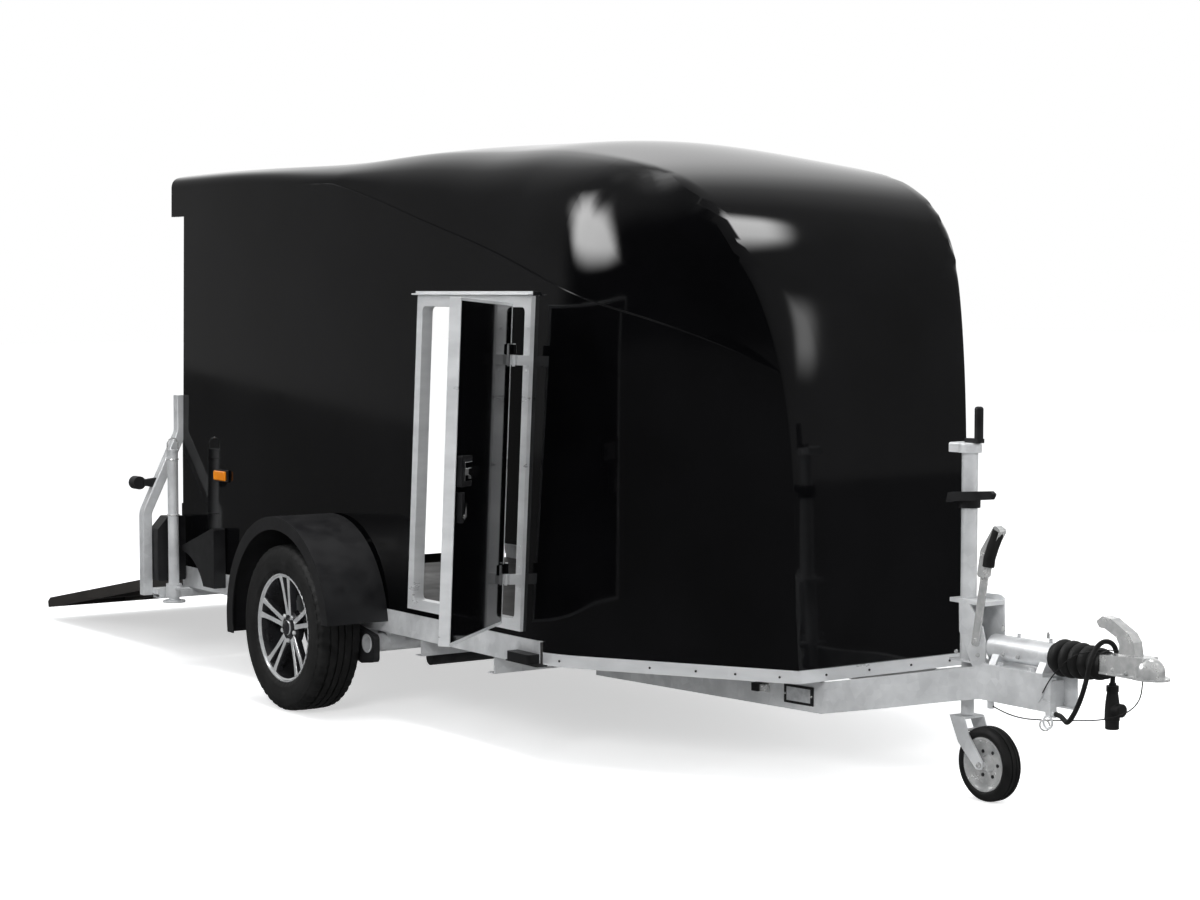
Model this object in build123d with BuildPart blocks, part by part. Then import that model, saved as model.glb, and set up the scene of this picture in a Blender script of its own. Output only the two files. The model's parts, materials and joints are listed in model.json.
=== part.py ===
from build123d import *
import os
from math import cos, hypot, pi, radians, sin, tan

os.makedirs("parts", exist_ok=True)

# Single-axle box trailer with a ramp door at the back and a door in the right side.
# Millimetres.  +X points ahead to the car, +Y to the left, +Z up.  The origin is the
# middle of the ball socket in the coupling head.  Places are first given from the
# point on the road under the middle of the axle, and at() moves them to the origin.

# ---------------------------------------------------------------- driving dimensions
coupling_reach = 3150.0      # axle to ball socket
coupling_height = 460.0      # road to ball socket

tyre_diameter = 589.0
tyre_width = 176.0
rim_lip_diameter = 385.0
rim_width = 152.0
wheel_track = 1800.0         # middle of one tyre to middle of the other

body_width = 1534.0          # at the foot of the walls
body_rear = 1262.0           # axle back to the rear edge of the walls
nose_front = 2078.0          # axle ahead to the foot of the nose
nose_width = 680.0           # flat front of the nose
nose_taper_start = 1363.0    # axle ahead to where the walls turn in
wall_thickness = 20.0
wall_lean_rear = 0.013       # inward lean of the walls, per unit of height
wall_lean_front = 0.051
belt_recess = 9.0            # upper wall set in above the belt line
header_overhang = 110.0      # roof beyond the rear edge of the walls
header_foot = 1775.0         # underside of the header above the road

sill_foot = 306.0            # underside of the side sills above the road
sill_height = 81.0
sill_front = 1330.0
sheet = 3.0                  # sill sheet thickness
sill_flange = 45.0
floor_thickness = 15.0
nose_foot = 352.0            # lower edge of the nose shell
skirt_height = 40.0

door_rear = 524.0            # rear edge of the door frame, ahead of the axle
door_width = 703.0
door_foot = 406.0
door_height = 1060.0
door_lean = 0.044
frame_face = 36.0            # width of the door frame profile
frame_depth = 40.0
frame_proud = 6.0            # frame outside the door plane
leaf_thickness = 32.0
leaf_clearance = 5.3         # closed leaf to the frame
leaf_edge = 25.0             # doorway edge to the leaf
door_open_angle = 134.0

ramp_hinge_back = 1325.0     # axle back to the ramp hinge
ramp_hinge_height = 300.0
ramp_length = 1460.0
ramp_half_width = 728.0
ramp_thickness = 42.0
ramp_rise = 13.0             # hinge axis to the underside of the ramp
ramp_slope = 10.2            # degrees below level when down

rail_height = 96.0
rail_sheet = 5.0
rail_flange = 22.0
rail_gap = 110.0             # over both drawbar rails at the front
rail_rear_spread = 730.0
rail_bend_x = 2300.0
rail_bend_spread = 410.0
rail_straight_x = 2430.0
rail_front = 2835.0
rail_top_front = 402.0
rail_drop = 3.0              # rail tops below the floor
rail_rise_x = 2060.0         # where the rails start to rise
rail_level_x = 2550.0        # and where they are level again
floor_strips = ((1180.0, 340.0), (1850.0, 260.0))    # x and half width
tie_places = (2570.0, 2780.0)

overrun_rear = 2560.0
overrun_front = 2806.0
drawtube_drop = 4.0          # drawtube axis below the ball socket
overrun_diameter = 74.0
overrun_base_length = 244.0
drawtube_diameter = 50.0
bellows_front = 2996.0
ball_diameter = 50.0
head_tip = 60.0              # ball socket to the front of the lip

axle_tube_diameter = 65.0
axle_tube_ahead = 300.0      # trailing arm pivot ahead of the wheel centre
axle_tube_height = 262.0
stub_diameter = 40.0

jockey_x = 2446.0
jockey_trail = 94.0
jockey_tube_diameter = 48.0
jockey_inner_diameter = 38.0
jockey_tube_foot = 400.0
jockey_tube_top = 1011.0
jockey_wheel_diameter = 220.0
jockey_wheel_width = 62.0
fork_top = 240.0

leg_x = -1170.0
leg_y = 848.0
leg_diameter = 42.0
leg_top = 850.0
leg_foot = 260.0

guard_tube = 40.0            # square tube of the rear guards
guard_x = -1283.0
guard_top = 1060.0
guard_path = ((762.0, 920.0), (915.0, 605.0), (915.0, 277.0))    # y and z of its bends

strut_y = 744.0
strut_pin_x = -1290.0
strut_pin_height = 885.0
strut_lever_ahead = 30.0     # lower pin from the ramp hinge when the ramp is down
strut_lever_up = 35.0
strut_tube_diameter = 18.0
strut_rod_diameter = 8.0
strut_eye_width = 10.0
strut_tube_length = 290.0
strut_rod_length = 430.0

gap = 0.3                    # between still faces of parts that do not touch
running_fit = 0.05           # shaft in its bore, on the radius
running_gap = 6.0            # round parts that move


def at(x, y, z):
    """A point given from the road under the axle, in the coupling's frame."""
    return Vector(x - coupling_reach, y, z - coupling_height)


def level(z):
    """Sketch plane seen from above, at a height over the road."""
    return Plane(origin=at(0, 0, z), x_dir=(1, 0, 0), z_dir=(0, 0, 1))


def side_on(y):
    """Sketch plane seen from the right: x ahead, y up.  Extrudes to the right."""
    return Plane(origin=at(0, y, 0), x_dir=(1, 0, 0), z_dir=(0, -1, 0))


def end_on(x):
    """Sketch plane seen from ahead: x to the left, y up.  Extrudes ahead."""
    return Plane(origin=at(x, 0, 0), x_dir=(0, 1, 0), z_dir=(1, 0, 0))


def save(piece, label):
    piece.part.label = label
    export_step(piece.part, f"parts/{label}.step")


def save_mirrored(piece, label):
    """The same piece for the other side of the trailer."""
    with BuildPart() as other:
        add(piece.part)
        mirror(about=Plane.XZ, mode=Mode.REPLACE)
    save(other, label)
    return other


def save_pair(piece, label):
    """The piece and its mirror image, as two solids of one node."""
    with BuildPart() as both:
        add(piece.part)
        mirror(about=Plane.XZ)
    save(both, label)


half_body = body_width / 2
wheel_y = wheel_track / 2
tyre_radius = tyre_diameter / 2
sill_top = sill_foot + sill_height
hull_roof_reach = body_rear + header_overhang

# ---------------------------------------------------------------- hull
plan_foot = 290.0
plan_top = 2120.0


def plan_outline(height, inset, recess):
    """Corner points of the walls in plan at one height, right side first."""
    rise = height - plan_foot
    rear_half = half_body - wall_lean_rear * rise - inset - recess
    front_half = half_body - wall_lean_front * rise - inset - recess
    slope = (half_body - nose_width / 2) / (nose_front - nose_taper_start)
    tip_half = nose_width / 2 - inset * hypot(1, slope) + (2 if recess else 0)
    bend_x = nose_front - (front_half - tip_half) / slope
    front_x = nose_front + 60
    front_y = tip_half - slope * (front_x - nose_front)
    rear_x = -hull_roof_reach + inset
    return [(rear_x, rear_half), (bend_x, front_half), (front_x, front_y)]


def add_walls(inset, recess, mode):
    """The tapering, leaning plan form, lofted between two heights."""
    outlines = []
    for height in (plan_foot, plan_top):
        right = plan_outline(height, inset, recess)
        points = right + [(x, -y) for x, y in reversed(right)]
        with BuildSketch(level(height)) as outline:
            Polygon(*points, align=None)
            bends = outline.vertices().sort_by(Axis.X)[2:4]
            fillet(bends, radius=480)
        outlines.append(outline.sketch)
    loft(sections=outlines, mode=mode)


# The roof and front are one sweep through section planes.  Up to fan_x the planes stand
# upright; ahead of it they tilt forward about a line below the road at (fan_x, fan_z).
# Each station: (x, tilt, crown z, shoulder y, shoulder z, brow y, brow z).
fan_x = 750.0
fan_z = -600.0
roof_stations = [
    (-1400, 0, 1950, 660, 1944, 742, 1926),
    (-900, 0, 1958, 655, 1947, 738, 1926),
    (-450, 0, 1958, 640, 1941, 731, 1911),
    (-80, 0, 1972, 600, 1940, 722, 1899),
    (350, 0, 2000, 545, 1958, 708, 1893),
    (fan_x, 0, 1994, 500, 1945, 690, 1875),
    (fan_x, 8, 1966, 474, 1920, 680, 1851),
    (fan_x, 16, 1890, 474, 1861, 645, 1765),
    (fan_x, 22.3, 1792, 474, 1775, 575, 1640),
    (fan_x, 26.6, 1662, 452, 1650, 505, 1520),
    (fan_x, 30, 1504, 425, 1500, 600, 1030),
    (fan_x, 34.3, 1271, 430, 1269, 600, 865),
    (fan_x, 39.3, 1001, 430, 999, 600, 667),
    (fan_x, 44.5, 743, 430, 741, 600, 465),
    (fan_x, 50, 512, 430, 510, 600, 283),
    (fan_x, 56, 300, 430, 298, 600, 117),
]


def add_roof(inset):
    """The crowned roof, its shoulders and the front, lofted through the stations."""
    reach = max(half_body, *[station[3] for station in roof_stations]) + 15
    stations = []
    for x, tilt, crown_z, shoulder_y, shoulder_z, brow_y, brow_z in roof_stations:
        lean = radians(tilt)
        plane = Plane(origin=at(x, 0, fan_z), x_dir=(0, 1, 0), z_dir=(cos(lean), 0, -sin(lean)))
        crown, shoulder, brow = [(z - fan_z) / cos(lean) for z in (crown_z, shoulder_z, brow_z)]
        fall = (shoulder - brow) / (brow_y - shoulder_y)
        shoulder -= inset * hypot(1, fall)
        edge = shoulder - fall * (reach - shoulder_y)
        with BuildSketch(plane) as station:
            with BuildLine():
                arc = ThreePointArc((-shoulder_y, shoulder), (0, crown - inset),
                                    (shoulder_y, shoulder))
                Polyline(arc @ 1, (reach, edge), (reach, 200), (-reach, 200), (-reach, edge),
                         arc @ 0)
            make_face()
        stations.append(station.sketch)
    loft(sections=stations, mode=Mode.INTERSECT)


belt_line = [(-1500, 1952), (-780, 1928), (-310, 1893), (0, 1845), (500, 1723), (980, 1602),
             (1270, 1514), (1500, 1444), (1720, 1372), (1900, 1300), (2250, 1120)]


def add_above_belt(mode, top=2300):
    """Everything above the belt line, across the whole width."""
    with BuildSketch(side_on(1000)) as region:
        with BuildLine():
            belt = Spline(*belt_line)
            Polyline(belt @ 1, (2250, top), (-1500, top), belt @ 0)
        make_face()
    extrude(region.sketch, amount=2000, mode=mode)


def hull_form(inset):
    """Solid form of the hull, or of its inside when inset by the wall."""
    with BuildPart() as form:
        add_walls(inset, 0, Mode.ADD)
        add_roof(inset)
    return form


with BuildPart() as recessed_walls:
    add_walls(0, belt_recess, Mode.ADD)

with BuildPart() as belt_cutter:
    add_above_belt(Mode.ADD)
    add(recessed_walls.part, mode=Mode.SUBTRACT)


door_plane = Plane(origin=at(door_rear, -half_body, door_foot), x_dir=(1, 0, 0),
                   z_dir=(0, -1, door_lean))


with BuildPart() as hull:
    add(hull_form(0).part)
    add(belt_cutter.part, mode=Mode.SUBTRACT)
    add(hull_form(wall_thickness).part, mode=Mode.SUBTRACT)
    # the walls end short of the header, and the foot steps down at the nose
    with BuildSketch(side_on(1000)):
        Polygon((-body_rear, sill_top), (sill_front, sill_top), (sill_front, nose_foot),
                (3000, nose_foot), (3000, 2300), (-2000, 2300), (-2000, header_foot),
                (-body_rear, header_foot), align=None)
    extrude(amount=2000, mode=Mode.INTERSECT)
    # doorway
    with BuildSketch(door_plane.offset(-70)):
        Rectangle(door_width, door_height, align=Align.MIN)
    extrude(amount=140, mode=Mode.SUBTRACT)



with BuildPart() as nose_region:
    with BuildSketch(side_on(1000)):
        with Locations((sill_front, 0)):
            Rectangle(1500, 2500, align=Align.MIN)
    extrude(amount=2000)

with BuildPart() as belt_region:
    add_above_belt(Mode.ADD)

with BuildPart() as hull_nose:
    add(hull.part)
    add(nose_region.part, mode=Mode.INTERSECT)
save(hull_nose, "hull_nose")

with BuildPart() as hull_body:
    add(hull.part)
    add(nose_region.part, mode=Mode.SUBTRACT)

with BuildPart() as hull_roof:
    add(hull_body.part)
    add(belt_region.part, mode=Mode.INTERSECT)
save(hull_roof, "hull_roof")

with BuildPart() as hull_walls:
    add(hull_body.part)
    add(belt_region.part, mode=Mode.SUBTRACT)

for side, keep in (("right", Keep.BOTTOM), ("left", Keep.TOP)):
    with BuildPart() as hull_side:
        add(hull_walls.part)
        split(bisect_by=Plane(origin=(0, 0, 0), z_dir=(0, 1, 0)), keep=keep)
    save(hull_side, f"hull_side_{side}")

# ---------------------------------------------------------------- floor and chassis
floor_foot = sill_foot + sheet

with BuildPart() as sill:
    with BuildSketch(end_on(-body_rear)):
        outer = half_body
        with BuildLine():
            Polyline((-outer, sill_foot), (-outer + sill_flange, sill_foot),
                     (-outer + sill_flange, sill_foot + sheet), (-outer + sheet, sill_foot + sheet),
                     (-outer + sheet, sill_top - sheet), (-outer + 30, sill_top - sheet),
                     (-outer + 30, sill_top), (-outer, sill_top), close=True)
        make_face()
    extrude(amount=body_rear + sill_front)
save_pair(sill, "sills")

with BuildPart() as floor_panel:
    with BuildSketch(level(floor_foot)):
        side = half_body - sheet
        nose = plan_outline(nose_foot, wall_thickness + 4, 0)
        nose_points = [(sill_front, side), (sill_front, nose[1][1]), (nose[1][0], nose[1][1]),
                       (nose_front - 24, nose_width / 2 - 30)]
        Polygon((-body_rear, side), *nose_points, *[(x, -y) for x, y in reversed(nose_points)],
                (-body_rear, -side), align=None)
    extrude(amount=floor_thickness)
save(floor_panel, "floor_panel")

# strip of angle round the foot of the nose
with BuildPart() as nose_skirt:
    plan = plan_outline(nose_foot, 0, 0)
    strip = [(0, half_body), (plan[1][0], plan[1][1]), (nose_front, nose_width / 2)]
    with BuildSketch(level(nose_foot - skirt_height)) as outer_strip:
        Polygon(*strip, *[(x, -y) for x, y in reversed(strip)], align=None)
        fillet(outer_strip.vertices().sort_by(Axis.X)[2:4], radius=480)
        fillet(outer_strip.vertices().sort_by(Axis.X)[-2:], radius=30)
        offset(amount=-sheet, kind=Kind.INTERSECTION, mode=Mode.SUBTRACT)
        Rectangle(2 * sill_front, 2 * body_width, mode=Mode.SUBTRACT)
    extrude(amount=skirt_height)
save(nose_skirt, "nose_skirt")

# cross members carry the floor between the sills
member_flange = 40.0
member_height = 60.0
cross_member_places = (-700.0, 40.0, 560.0, 1020.0)
with BuildPart() as cross_members:
    for x in cross_member_places:
        with BuildSketch(side_on(half_body - sheet - gap)) as profile:
            with BuildLine():
                web = x + member_flange - sheet
                foot = floor_foot - member_height
                Polyline((x, foot), (x + member_flange, foot), (x + member_flange, floor_foot),
                         (x, floor_foot), (x, floor_foot - sheet), (web, floor_foot - sheet),
                         (web, foot + sheet), (x, foot + sheet), close=True)
            make_face()
        extrude(profile.sketch, amount=body_width - 2 * sheet - 2 * gap)
    # room for the sill flanges
    with BuildSketch(end_on(-1000)) as notch:
        for flip in (-1, 1):
            with Locations((flip * (half_body - sill_flange / 2), sill_foot)):
                Rectangle(sill_flange + 2 * gap, 2 * sheet)
    extrude(notch.sketch, amount=3000, mode=Mode.SUBTRACT)
save(cross_members, "cross_members")

# ---------------------------------------------------------------- drawbar
rail_rear = cross_member_places[-1] + member_flange + gap
rail_top_rear = floor_foot - rail_drop
rail_foot_rear = rail_top_rear - rail_height
rail_foot_front = rail_top_front - rail_height
rail_half = rail_gap / 2


def rail_plan(inset):
    """Corners of a line in the rail's plan, moved inward from the web's outer face."""
    points = [(rail_rear, rail_rear_spread / 2), (rail_bend_x, rail_bend_spread / 2),
              (rail_straight_x, rail_half), (rail_front, rail_half)]
    return [(x, inset - y) for x, y in points]


def rail_band(low, high):
    """Side view of a strip of the rail between two heights over its foot."""
    path = [(rail_rear, rail_foot_rear), (rail_rise_x, rail_foot_rear),
            (rail_level_x, rail_foot_front), (rail_front, rail_foot_front)]
    return [(x, z + low) for x, z in path] + [(x, z + high) for x, z in reversed(path)]


def rail_strip(width, low, high):
    """One plate of the channel: its plan outline cut to the height of its side view."""
    with BuildPart() as strip:
        with BuildSketch(level(rail_foot_rear - 60)):
            with BuildLine():
                outer_edge = FilletPolyline(*rail_plan(0), radius=210)
                inner_edge = FilletPolyline(*rail_plan(width), radius=210)
                Line(outer_edge @ 0, inner_edge @ 0)
                Line(outer_edge @ 1, inner_edge @ 1)
            make_face()
        extrude(amount=400)
        with BuildSketch(side_on(half_body)):
            Polygon(*rail_band(low, high), align=None)
        extrude(amount=body_width, mode=Mode.INTERSECT)
    return strip.part


with BuildPart() as drawbar_rail:
    add(rail_strip(rail_sheet, 0, rail_height))
    add(rail_strip(rail_flange, 0, rail_sheet))
    add(rail_strip(rail_flange, rail_height - rail_sheet, rail_height))
save_pair(drawbar_rail, "drawbar_rails")

# strips on the rails that carry the floor, and the plates that tie the rails in front
with BuildPart() as drawbar_ties:
    for x, half_width in floor_strips:
        with BuildSketch(end_on(x)) as strip_face:
            with Locations((0, rail_top_rear)):
                Rectangle(2 * half_width, floor_foot - rail_top_rear,
                          align=(Align.CENTER, Align.MIN))
        extrude(strip_face.sketch, amount=40)
    for x in tie_places:
        with BuildSketch(end_on(x)) as tie_face:
            with Locations((0, rail_foot_front + rail_sheet)):
                Rectangle(rail_gap - 2 * rail_sheet - 2 * gap, rail_height - 2 * rail_sheet - 14,
                          align=(Align.CENTER, Align.MIN))
        extrude(tie_face.sketch, amount=6)
save(drawbar_ties, "drawbar_ties")

# ---------------------------------------------------------------- overrun device
tube_axis = coupling_height - drawtube_drop
with BuildPart() as overrun_housing:
    with BuildSketch(end_on(overrun_rear)):
        with Locations((0, tube_axis)):
            Circle(overrun_diameter / 2)
    extrude(amount=overrun_front - overrun_rear)
    # base flange bolted to the rails, and its side webs
    with BuildSketch(level(rail_top_front + gap)) as base:
        with Locations((overrun_rear, 0)):
            Rectangle(overrun_base_length, rail_gap, align=(Align.MIN, Align.CENTER))
    extrude(base.sketch, amount=9)
    for x in (overrun_rear + 24, overrun_front - 34):
        with BuildSketch(end_on(x)) as web:
            with BuildLine():
                Polyline((-rail_half, rail_top_front + gap), (rail_half, rail_top_front + gap),
                         (rail_half - 12, rail_top_front + 22), (24, tube_axis),
                         (-24, tube_axis), (12 - rail_half, rail_top_front + 22), close=True)
            make_face()
        extrude(web.sketch, amount=26)
    # bore for the drawtube
    with BuildSketch(end_on(overrun_front)) as bore:
        with Locations((0, tube_axis)):
            Circle(drawtube_diameter / 2 + gap)
    extrude(bore.sketch, amount=-(overrun_front - overrun_rear - 30), mode=Mode.SUBTRACT)
    # grease nipples
    for x in (overrun_rear + 95, overrun_front - 25):
        with BuildSketch(level(tube_axis + overrun_diameter / 2 - 3)) as nipple:
            with Locations((x, 0)):
                Circle(5)
        extrude(nipple.sketch, amount=14)
    # four bolt heads on the base
    with BuildSketch(level(rail_top_front + gap + 9)) as heads:
        for x in (overrun_rear + 66, overrun_front - 56):
            with Locations((x, rail_half - 13), (x, 13 - rail_half)):
                RegularPolygon(10, 6)
    extrude(heads.sketch, amount=9)
save(overrun_housing, "overrun_housing")

lobe_radii = (53, 53, 51, 48, 45)
with BuildPart() as bellows:
    pitch = (bellows_front - overrun_front - 20) / len(lobe_radii)
    with BuildSketch(side_on(0)):
        with BuildLine():
            start = (overrun_front + gap, tube_axis + 41)
            top = Line(start, (overrun_front + 10, tube_axis + 41))
            for lobe in range(len(lobe_radii)):
                x = overrun_front + 10 + lobe * pitch
                top = ThreePointArc(top @ 1, (x + pitch / 2, tube_axis + lobe_radii[lobe]),
                                    (x + pitch, tube_axis + 39))
            Polyline(top @ 1, (bellows_front - gap, tube_axis + 39),
                     (bellows_front - gap, tube_axis + drawtube_diameter / 2 + gap),
                     (overrun_front + gap, tube_axis + drawtube_diameter / 2 + gap), start)
        make_face()
    revolve(axis=Axis(at(0, 0, tube_axis), (1, 0, 0)))
save(bellows, "bellows")

# coupling head: pressed steel over the ball, on the end of the drawtube
ball_radius = ball_diameter / 2
ball_x = coupling_reach
lip_foot = coupling_height - 23
head_top = lip_foot + 58
with BuildPart() as coupling_head:
    with BuildSketch(end_on(overrun_rear + 60)):
        with Locations((0, tube_axis)):
            Circle(drawtube_diameter / 2)
    extrude(amount=bellows_front - overrun_rear - 45)
    with BuildSketch(side_on(31)):
        Polygon((bellows_front, lip_foot), (bellows_front, head_top - 8),
                (ball_x - 38, head_top), (ball_x, head_top), (ball_x, lip_foot), align=None)
    extrude(amount=62)
    with BuildSketch(Plane(at(ball_x, 0, 0), x_dir=(0, 1, 0), z_dir=(1, 0, 0))) as dome:
        with BuildLine():
            wall = Line((0, lip_foot), (41, lip_foot))
            side = Line(wall @ 1, (41, coupling_height - 4))
            crown = TangentArc(side @ 1, (0, head_top + 2), tangent=(0, 1))
            Line(crown @ 1, wall @ 0)
        make_face()
    revolve(dome.sketch, axis=Axis(at(ball_x, 0, 0), (0, 0, 1)))
    # rolled lip round the mouth
    with BuildSketch(level(lip_foot)) as lip:
        with Locations((ball_x, 0)):
            Ellipse(head_tip, 46)
        with Locations((bellows_front + 6, 0)):
            Rectangle(ball_x - bellows_front, 80, align=(Align.MIN, Align.CENTER))
    extrude(lip.sketch, amount=6)
    # socket
    with BuildSketch(level(lip_foot - 1)) as mouth:
        with Locations((ball_x, 0)):
            Circle(ball_radius + gap)
    extrude(mouth.sketch, amount=coupling_height - lip_foot + 1, mode=Mode.SUBTRACT)
    with Locations(at(ball_x, 0, coupling_height)):
        Sphere(ball_radius + gap, mode=Mode.SUBTRACT)
save(coupling_head, "coupling_head")

# side view of the handle: distance ahead of the ball and height over the head
handle_outline = [(-98, gap), (-38, gap), (-45, 37), (-62, 59), (-128, 93), (-160, 97),
                  (-182, 81), (-170, 65), (-150, 64), (-108, 45), (-96, 25)]
with BuildPart() as coupling_handle:
    with BuildSketch(side_on(17)):
        with BuildLine():
            Polyline(*[(ball_x + x, head_top + z) for x, z in handle_outline], close=True)
        make_face()
        fillet(vertices().filter_by(lambda corner: corner.Y > head_top + 10), radius=6)
    extrude(amount=34)
save(coupling_handle, "coupling_handle")

# bracket that clamps the jockey tube and carries the handbrake lever
plate_foot = rail_top_front + gap
rail_slope = (rail_foot_front - rail_foot_rear) / (rail_level_x - rail_rise_x)
plate_feet = ((2559, plate_foot), (rail_level_x, plate_foot),
              (2506, plate_foot - (rail_level_x - 2506) * rail_slope))
with BuildPart() as brake_bracket:
    with BuildSketch(side_on(-34)) as near_plate:
        Polygon((2462, 586), (2480, 586), (2545, 512), (2559, 465), *plate_feet, (2449, 491),
                (2447, 576), align=None)
    extrude(near_plate.sketch, amount=5)
    with BuildSketch(side_on(39)) as far_plate:
        Polygon((2462, 600), (2540, 602), (2556, 594), (2559, 524), *plate_feet, (2449, 491),
                (2447, 590), align=None)
    extrude(far_plate.sketch, amount=5)
    for foot, top in ((574, 586), (plate_foot, plate_foot + 6)):
        with BuildSketch(level(foot)) as tie:
            with Locations((jockey_x - 38, 0)):
                Rectangle(150, 78, align=(Align.MIN, Align.CENTER))
            with Locations((jockey_x, 0)):
                Circle(jockey_tube_diameter / 2, mode=Mode.SUBTRACT)
            with Locations((overrun_rear - 4, 0)):
                Rectangle(200, 100, align=(Align.MIN, Align.CENTER), mode=Mode.SUBTRACT)
        extrude(tie.sketch, amount=top - foot)
save(brake_bracket, "brake_bracket")

with BuildPart() as handbrake_lever:
    with BuildSketch(side_on(-40)) as strip_face:
        with BuildLine():
            Polyline((2506, 456), (2534, 456), (2572, 668), (2544, 668), close=True)
        make_face()
        fillet(vertices(), radius=8)
    extrude(strip_face.sketch, amount=6)
    with BuildSketch(side_on(-36)) as grip:
        with BuildLine():
            Polyline((2542, 660), (2574, 660), (2584, 720), (2640, 800), (2612, 814),
                     (2556, 738), close=True)
        make_face()
        fillet(vertices(), radius=9)
    extrude(grip.sketch, amount=24)
    with BuildSketch(side_on(-39 - gap)) as pivot:
        with Locations((2520, 472)):
            Circle(7)
    extrude(pivot.sketch, amount=10)
save(handbrake_lever, "handbrake_lever")

# ---------------------------------------------------------------- jockey wheel
jockey_gap = 0.4
wheel_x = jockey_x + jockey_trail
wheel_radius = jockey_wheel_diameter / 2
with BuildPart() as jockey_tube:
    with BuildSketch(level(jockey_tube_foot)):
        with Locations((jockey_x, 0)):
            Circle(jockey_tube_diameter / 2 - gap)
    extrude(amount=jockey_tube_top - jockey_tube_foot)
    # head with its crank
    with BuildSketch(level(jockey_tube_top)):
        with Locations((jockey_x, 0)):
            Circle(34)
            Rectangle(60, 56, align=(Align.MAX, Align.CENTER))
    extrude(amount=29)
    fillet(edges().group_by(Axis.Z)[-1], radius=6)
    with BuildSketch(level(jockey_tube_foot - 1)):
        with Locations((jockey_x, 0)):
            Circle(jockey_inner_diameter / 2 + jockey_gap)
    extrude(amount=jockey_tube_top - jockey_tube_foot - 20, mode=Mode.SUBTRACT)
save(jockey_tube, "jockey_tube")

with BuildPart() as jockey_crank:
    with BuildSketch(level(jockey_tube_top + 29 + gap)):
        with BuildLine():
            Polyline((jockey_x - 16, -14), (jockey_x + 52, -14), (jockey_x + 52, 14),
                     (jockey_x - 16, 14), close=True)
        make_face()
        fillet(vertices(), radius=12)
    extrude(amount=12)
    with BuildSketch(level(jockey_tube_top + 41)):
        with Locations((jockey_x + 36, 0)):
            Circle(13)
    extrude(amount=94)
    fillet(edges().group_by(Axis.Z)[-1], radius=8)
save(jockey_crank, "jockey_crank")

with BuildPart() as clamp_lever:
    # collar round the tube with its folded lever
    with BuildSketch(level(850)):
        with Locations((jockey_x, 0)):
            Circle(jockey_tube_diameter / 2 + 8)
            Circle(jockey_tube_diameter / 2, mode=Mode.SUBTRACT)
    extrude(amount=44)
    with BuildSketch(side_on(-jockey_tube_diameter / 2 - 6)) as lever:
        with BuildLine():
            Polyline((2392, 862), (2420, 868), (2580, 884), (2590, 900), (2576, 908),
                     (2400, 894), close=True)
        make_face()
        fillet(vertices(), radius=5)
    extrude(lever.sketch, amount=14)
save(clamp_lever, "clamp_lever")

leg_bore = 24.0
with BuildPart() as jockey_leg:
    with BuildSketch(level(fork_top + 1)):
        with Locations((jockey_x, 0)):
            Circle(jockey_inner_diameter / 2)
    extrude(amount=640)
    with BuildSketch(level(fork_top)):
        with Locations((jockey_x, 0)):
            Circle(leg_bore / 2)
    extrude(amount=50, mode=Mode.SUBTRACT)
save(jockey_leg, "jockey_leg")

cheek_inner = jockey_wheel_width / 2 + 5.5
fork_sheet = 4.0
with BuildPart() as jockey_fork:
    for side in (-cheek_inner, cheek_inner + fork_sheet):
        with BuildSketch(side_on(side)) as cheek:
            with BuildLine():
                Polyline((jockey_x - 34, fork_top), (jockey_x + 28, fork_top),
                         (jockey_x + 48, fork_top - 48), (wheel_x + 12, wheel_radius + 12),
                         (wheel_x + 12, wheel_radius - 14), (wheel_x - 14, wheel_radius - 14),
                         (jockey_x + 4, fork_top - 76), close=True)
            make_face()
            fillet(vertices().filter_by(lambda corner: corner.Y < fork_top - 40), radius=11)
        extrude(cheek.sketch, amount=fork_sheet)
    with BuildSketch(level(fork_top - 6)) as crown:
        with Locations((jockey_x - 34, 0)):
            Rectangle(62, 2 * cheek_inner + 1, align=(Align.MIN, Align.CENTER))
    extrude(crown.sketch, amount=6)
    with BuildSketch(level(fork_top - 6)) as stem:
        with Locations((jockey_x, 0)):
            Circle(leg_bore / 2 - running_fit)
    extrude(stem.sketch, amount=50)
    with BuildSketch(side_on(cheek_inner + 1)) as spindle:
        with Locations((wheel_x, wheel_radius)):
            Circle(8)
    extrude(spindle.sketch, amount=2 * cheek_inner + 2)
save(jockey_fork, "jockey_fork")

with BuildPart() as jockey_wheel:
    half = jockey_wheel_width / 2
    hub_plane = Plane(at(wheel_x, 0, wheel_radius), x_dir=(0, 1, 0), z_dir=(1, 0, 0))
    with BuildSketch(hub_plane):
        with BuildLine():
            bore = 8 + running_fit
            Polyline((-20, bore), (20, bore), (20, 18), (6, 24), (6, 58), (24, 74), (26, 82),
                     (half, 88))
            ThreePointArc((half, 88), (half - 4, 104), (half - 14, wheel_radius))
            Line((half - 14, wheel_radius), (14 - half, wheel_radius))
            ThreePointArc((14 - half, wheel_radius), (4 - half, 104), (-half, 88))
            Polyline((-half, 88), (-26, 82), (-24, 74), (-6, 58), (-6, 24), (-20, 18),
                     (-20, bore))
        make_face()
    revolve(axis=Axis(hub_plane.origin, (0, 1, 0)))
save(jockey_wheel, "jockey_wheel")

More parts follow.
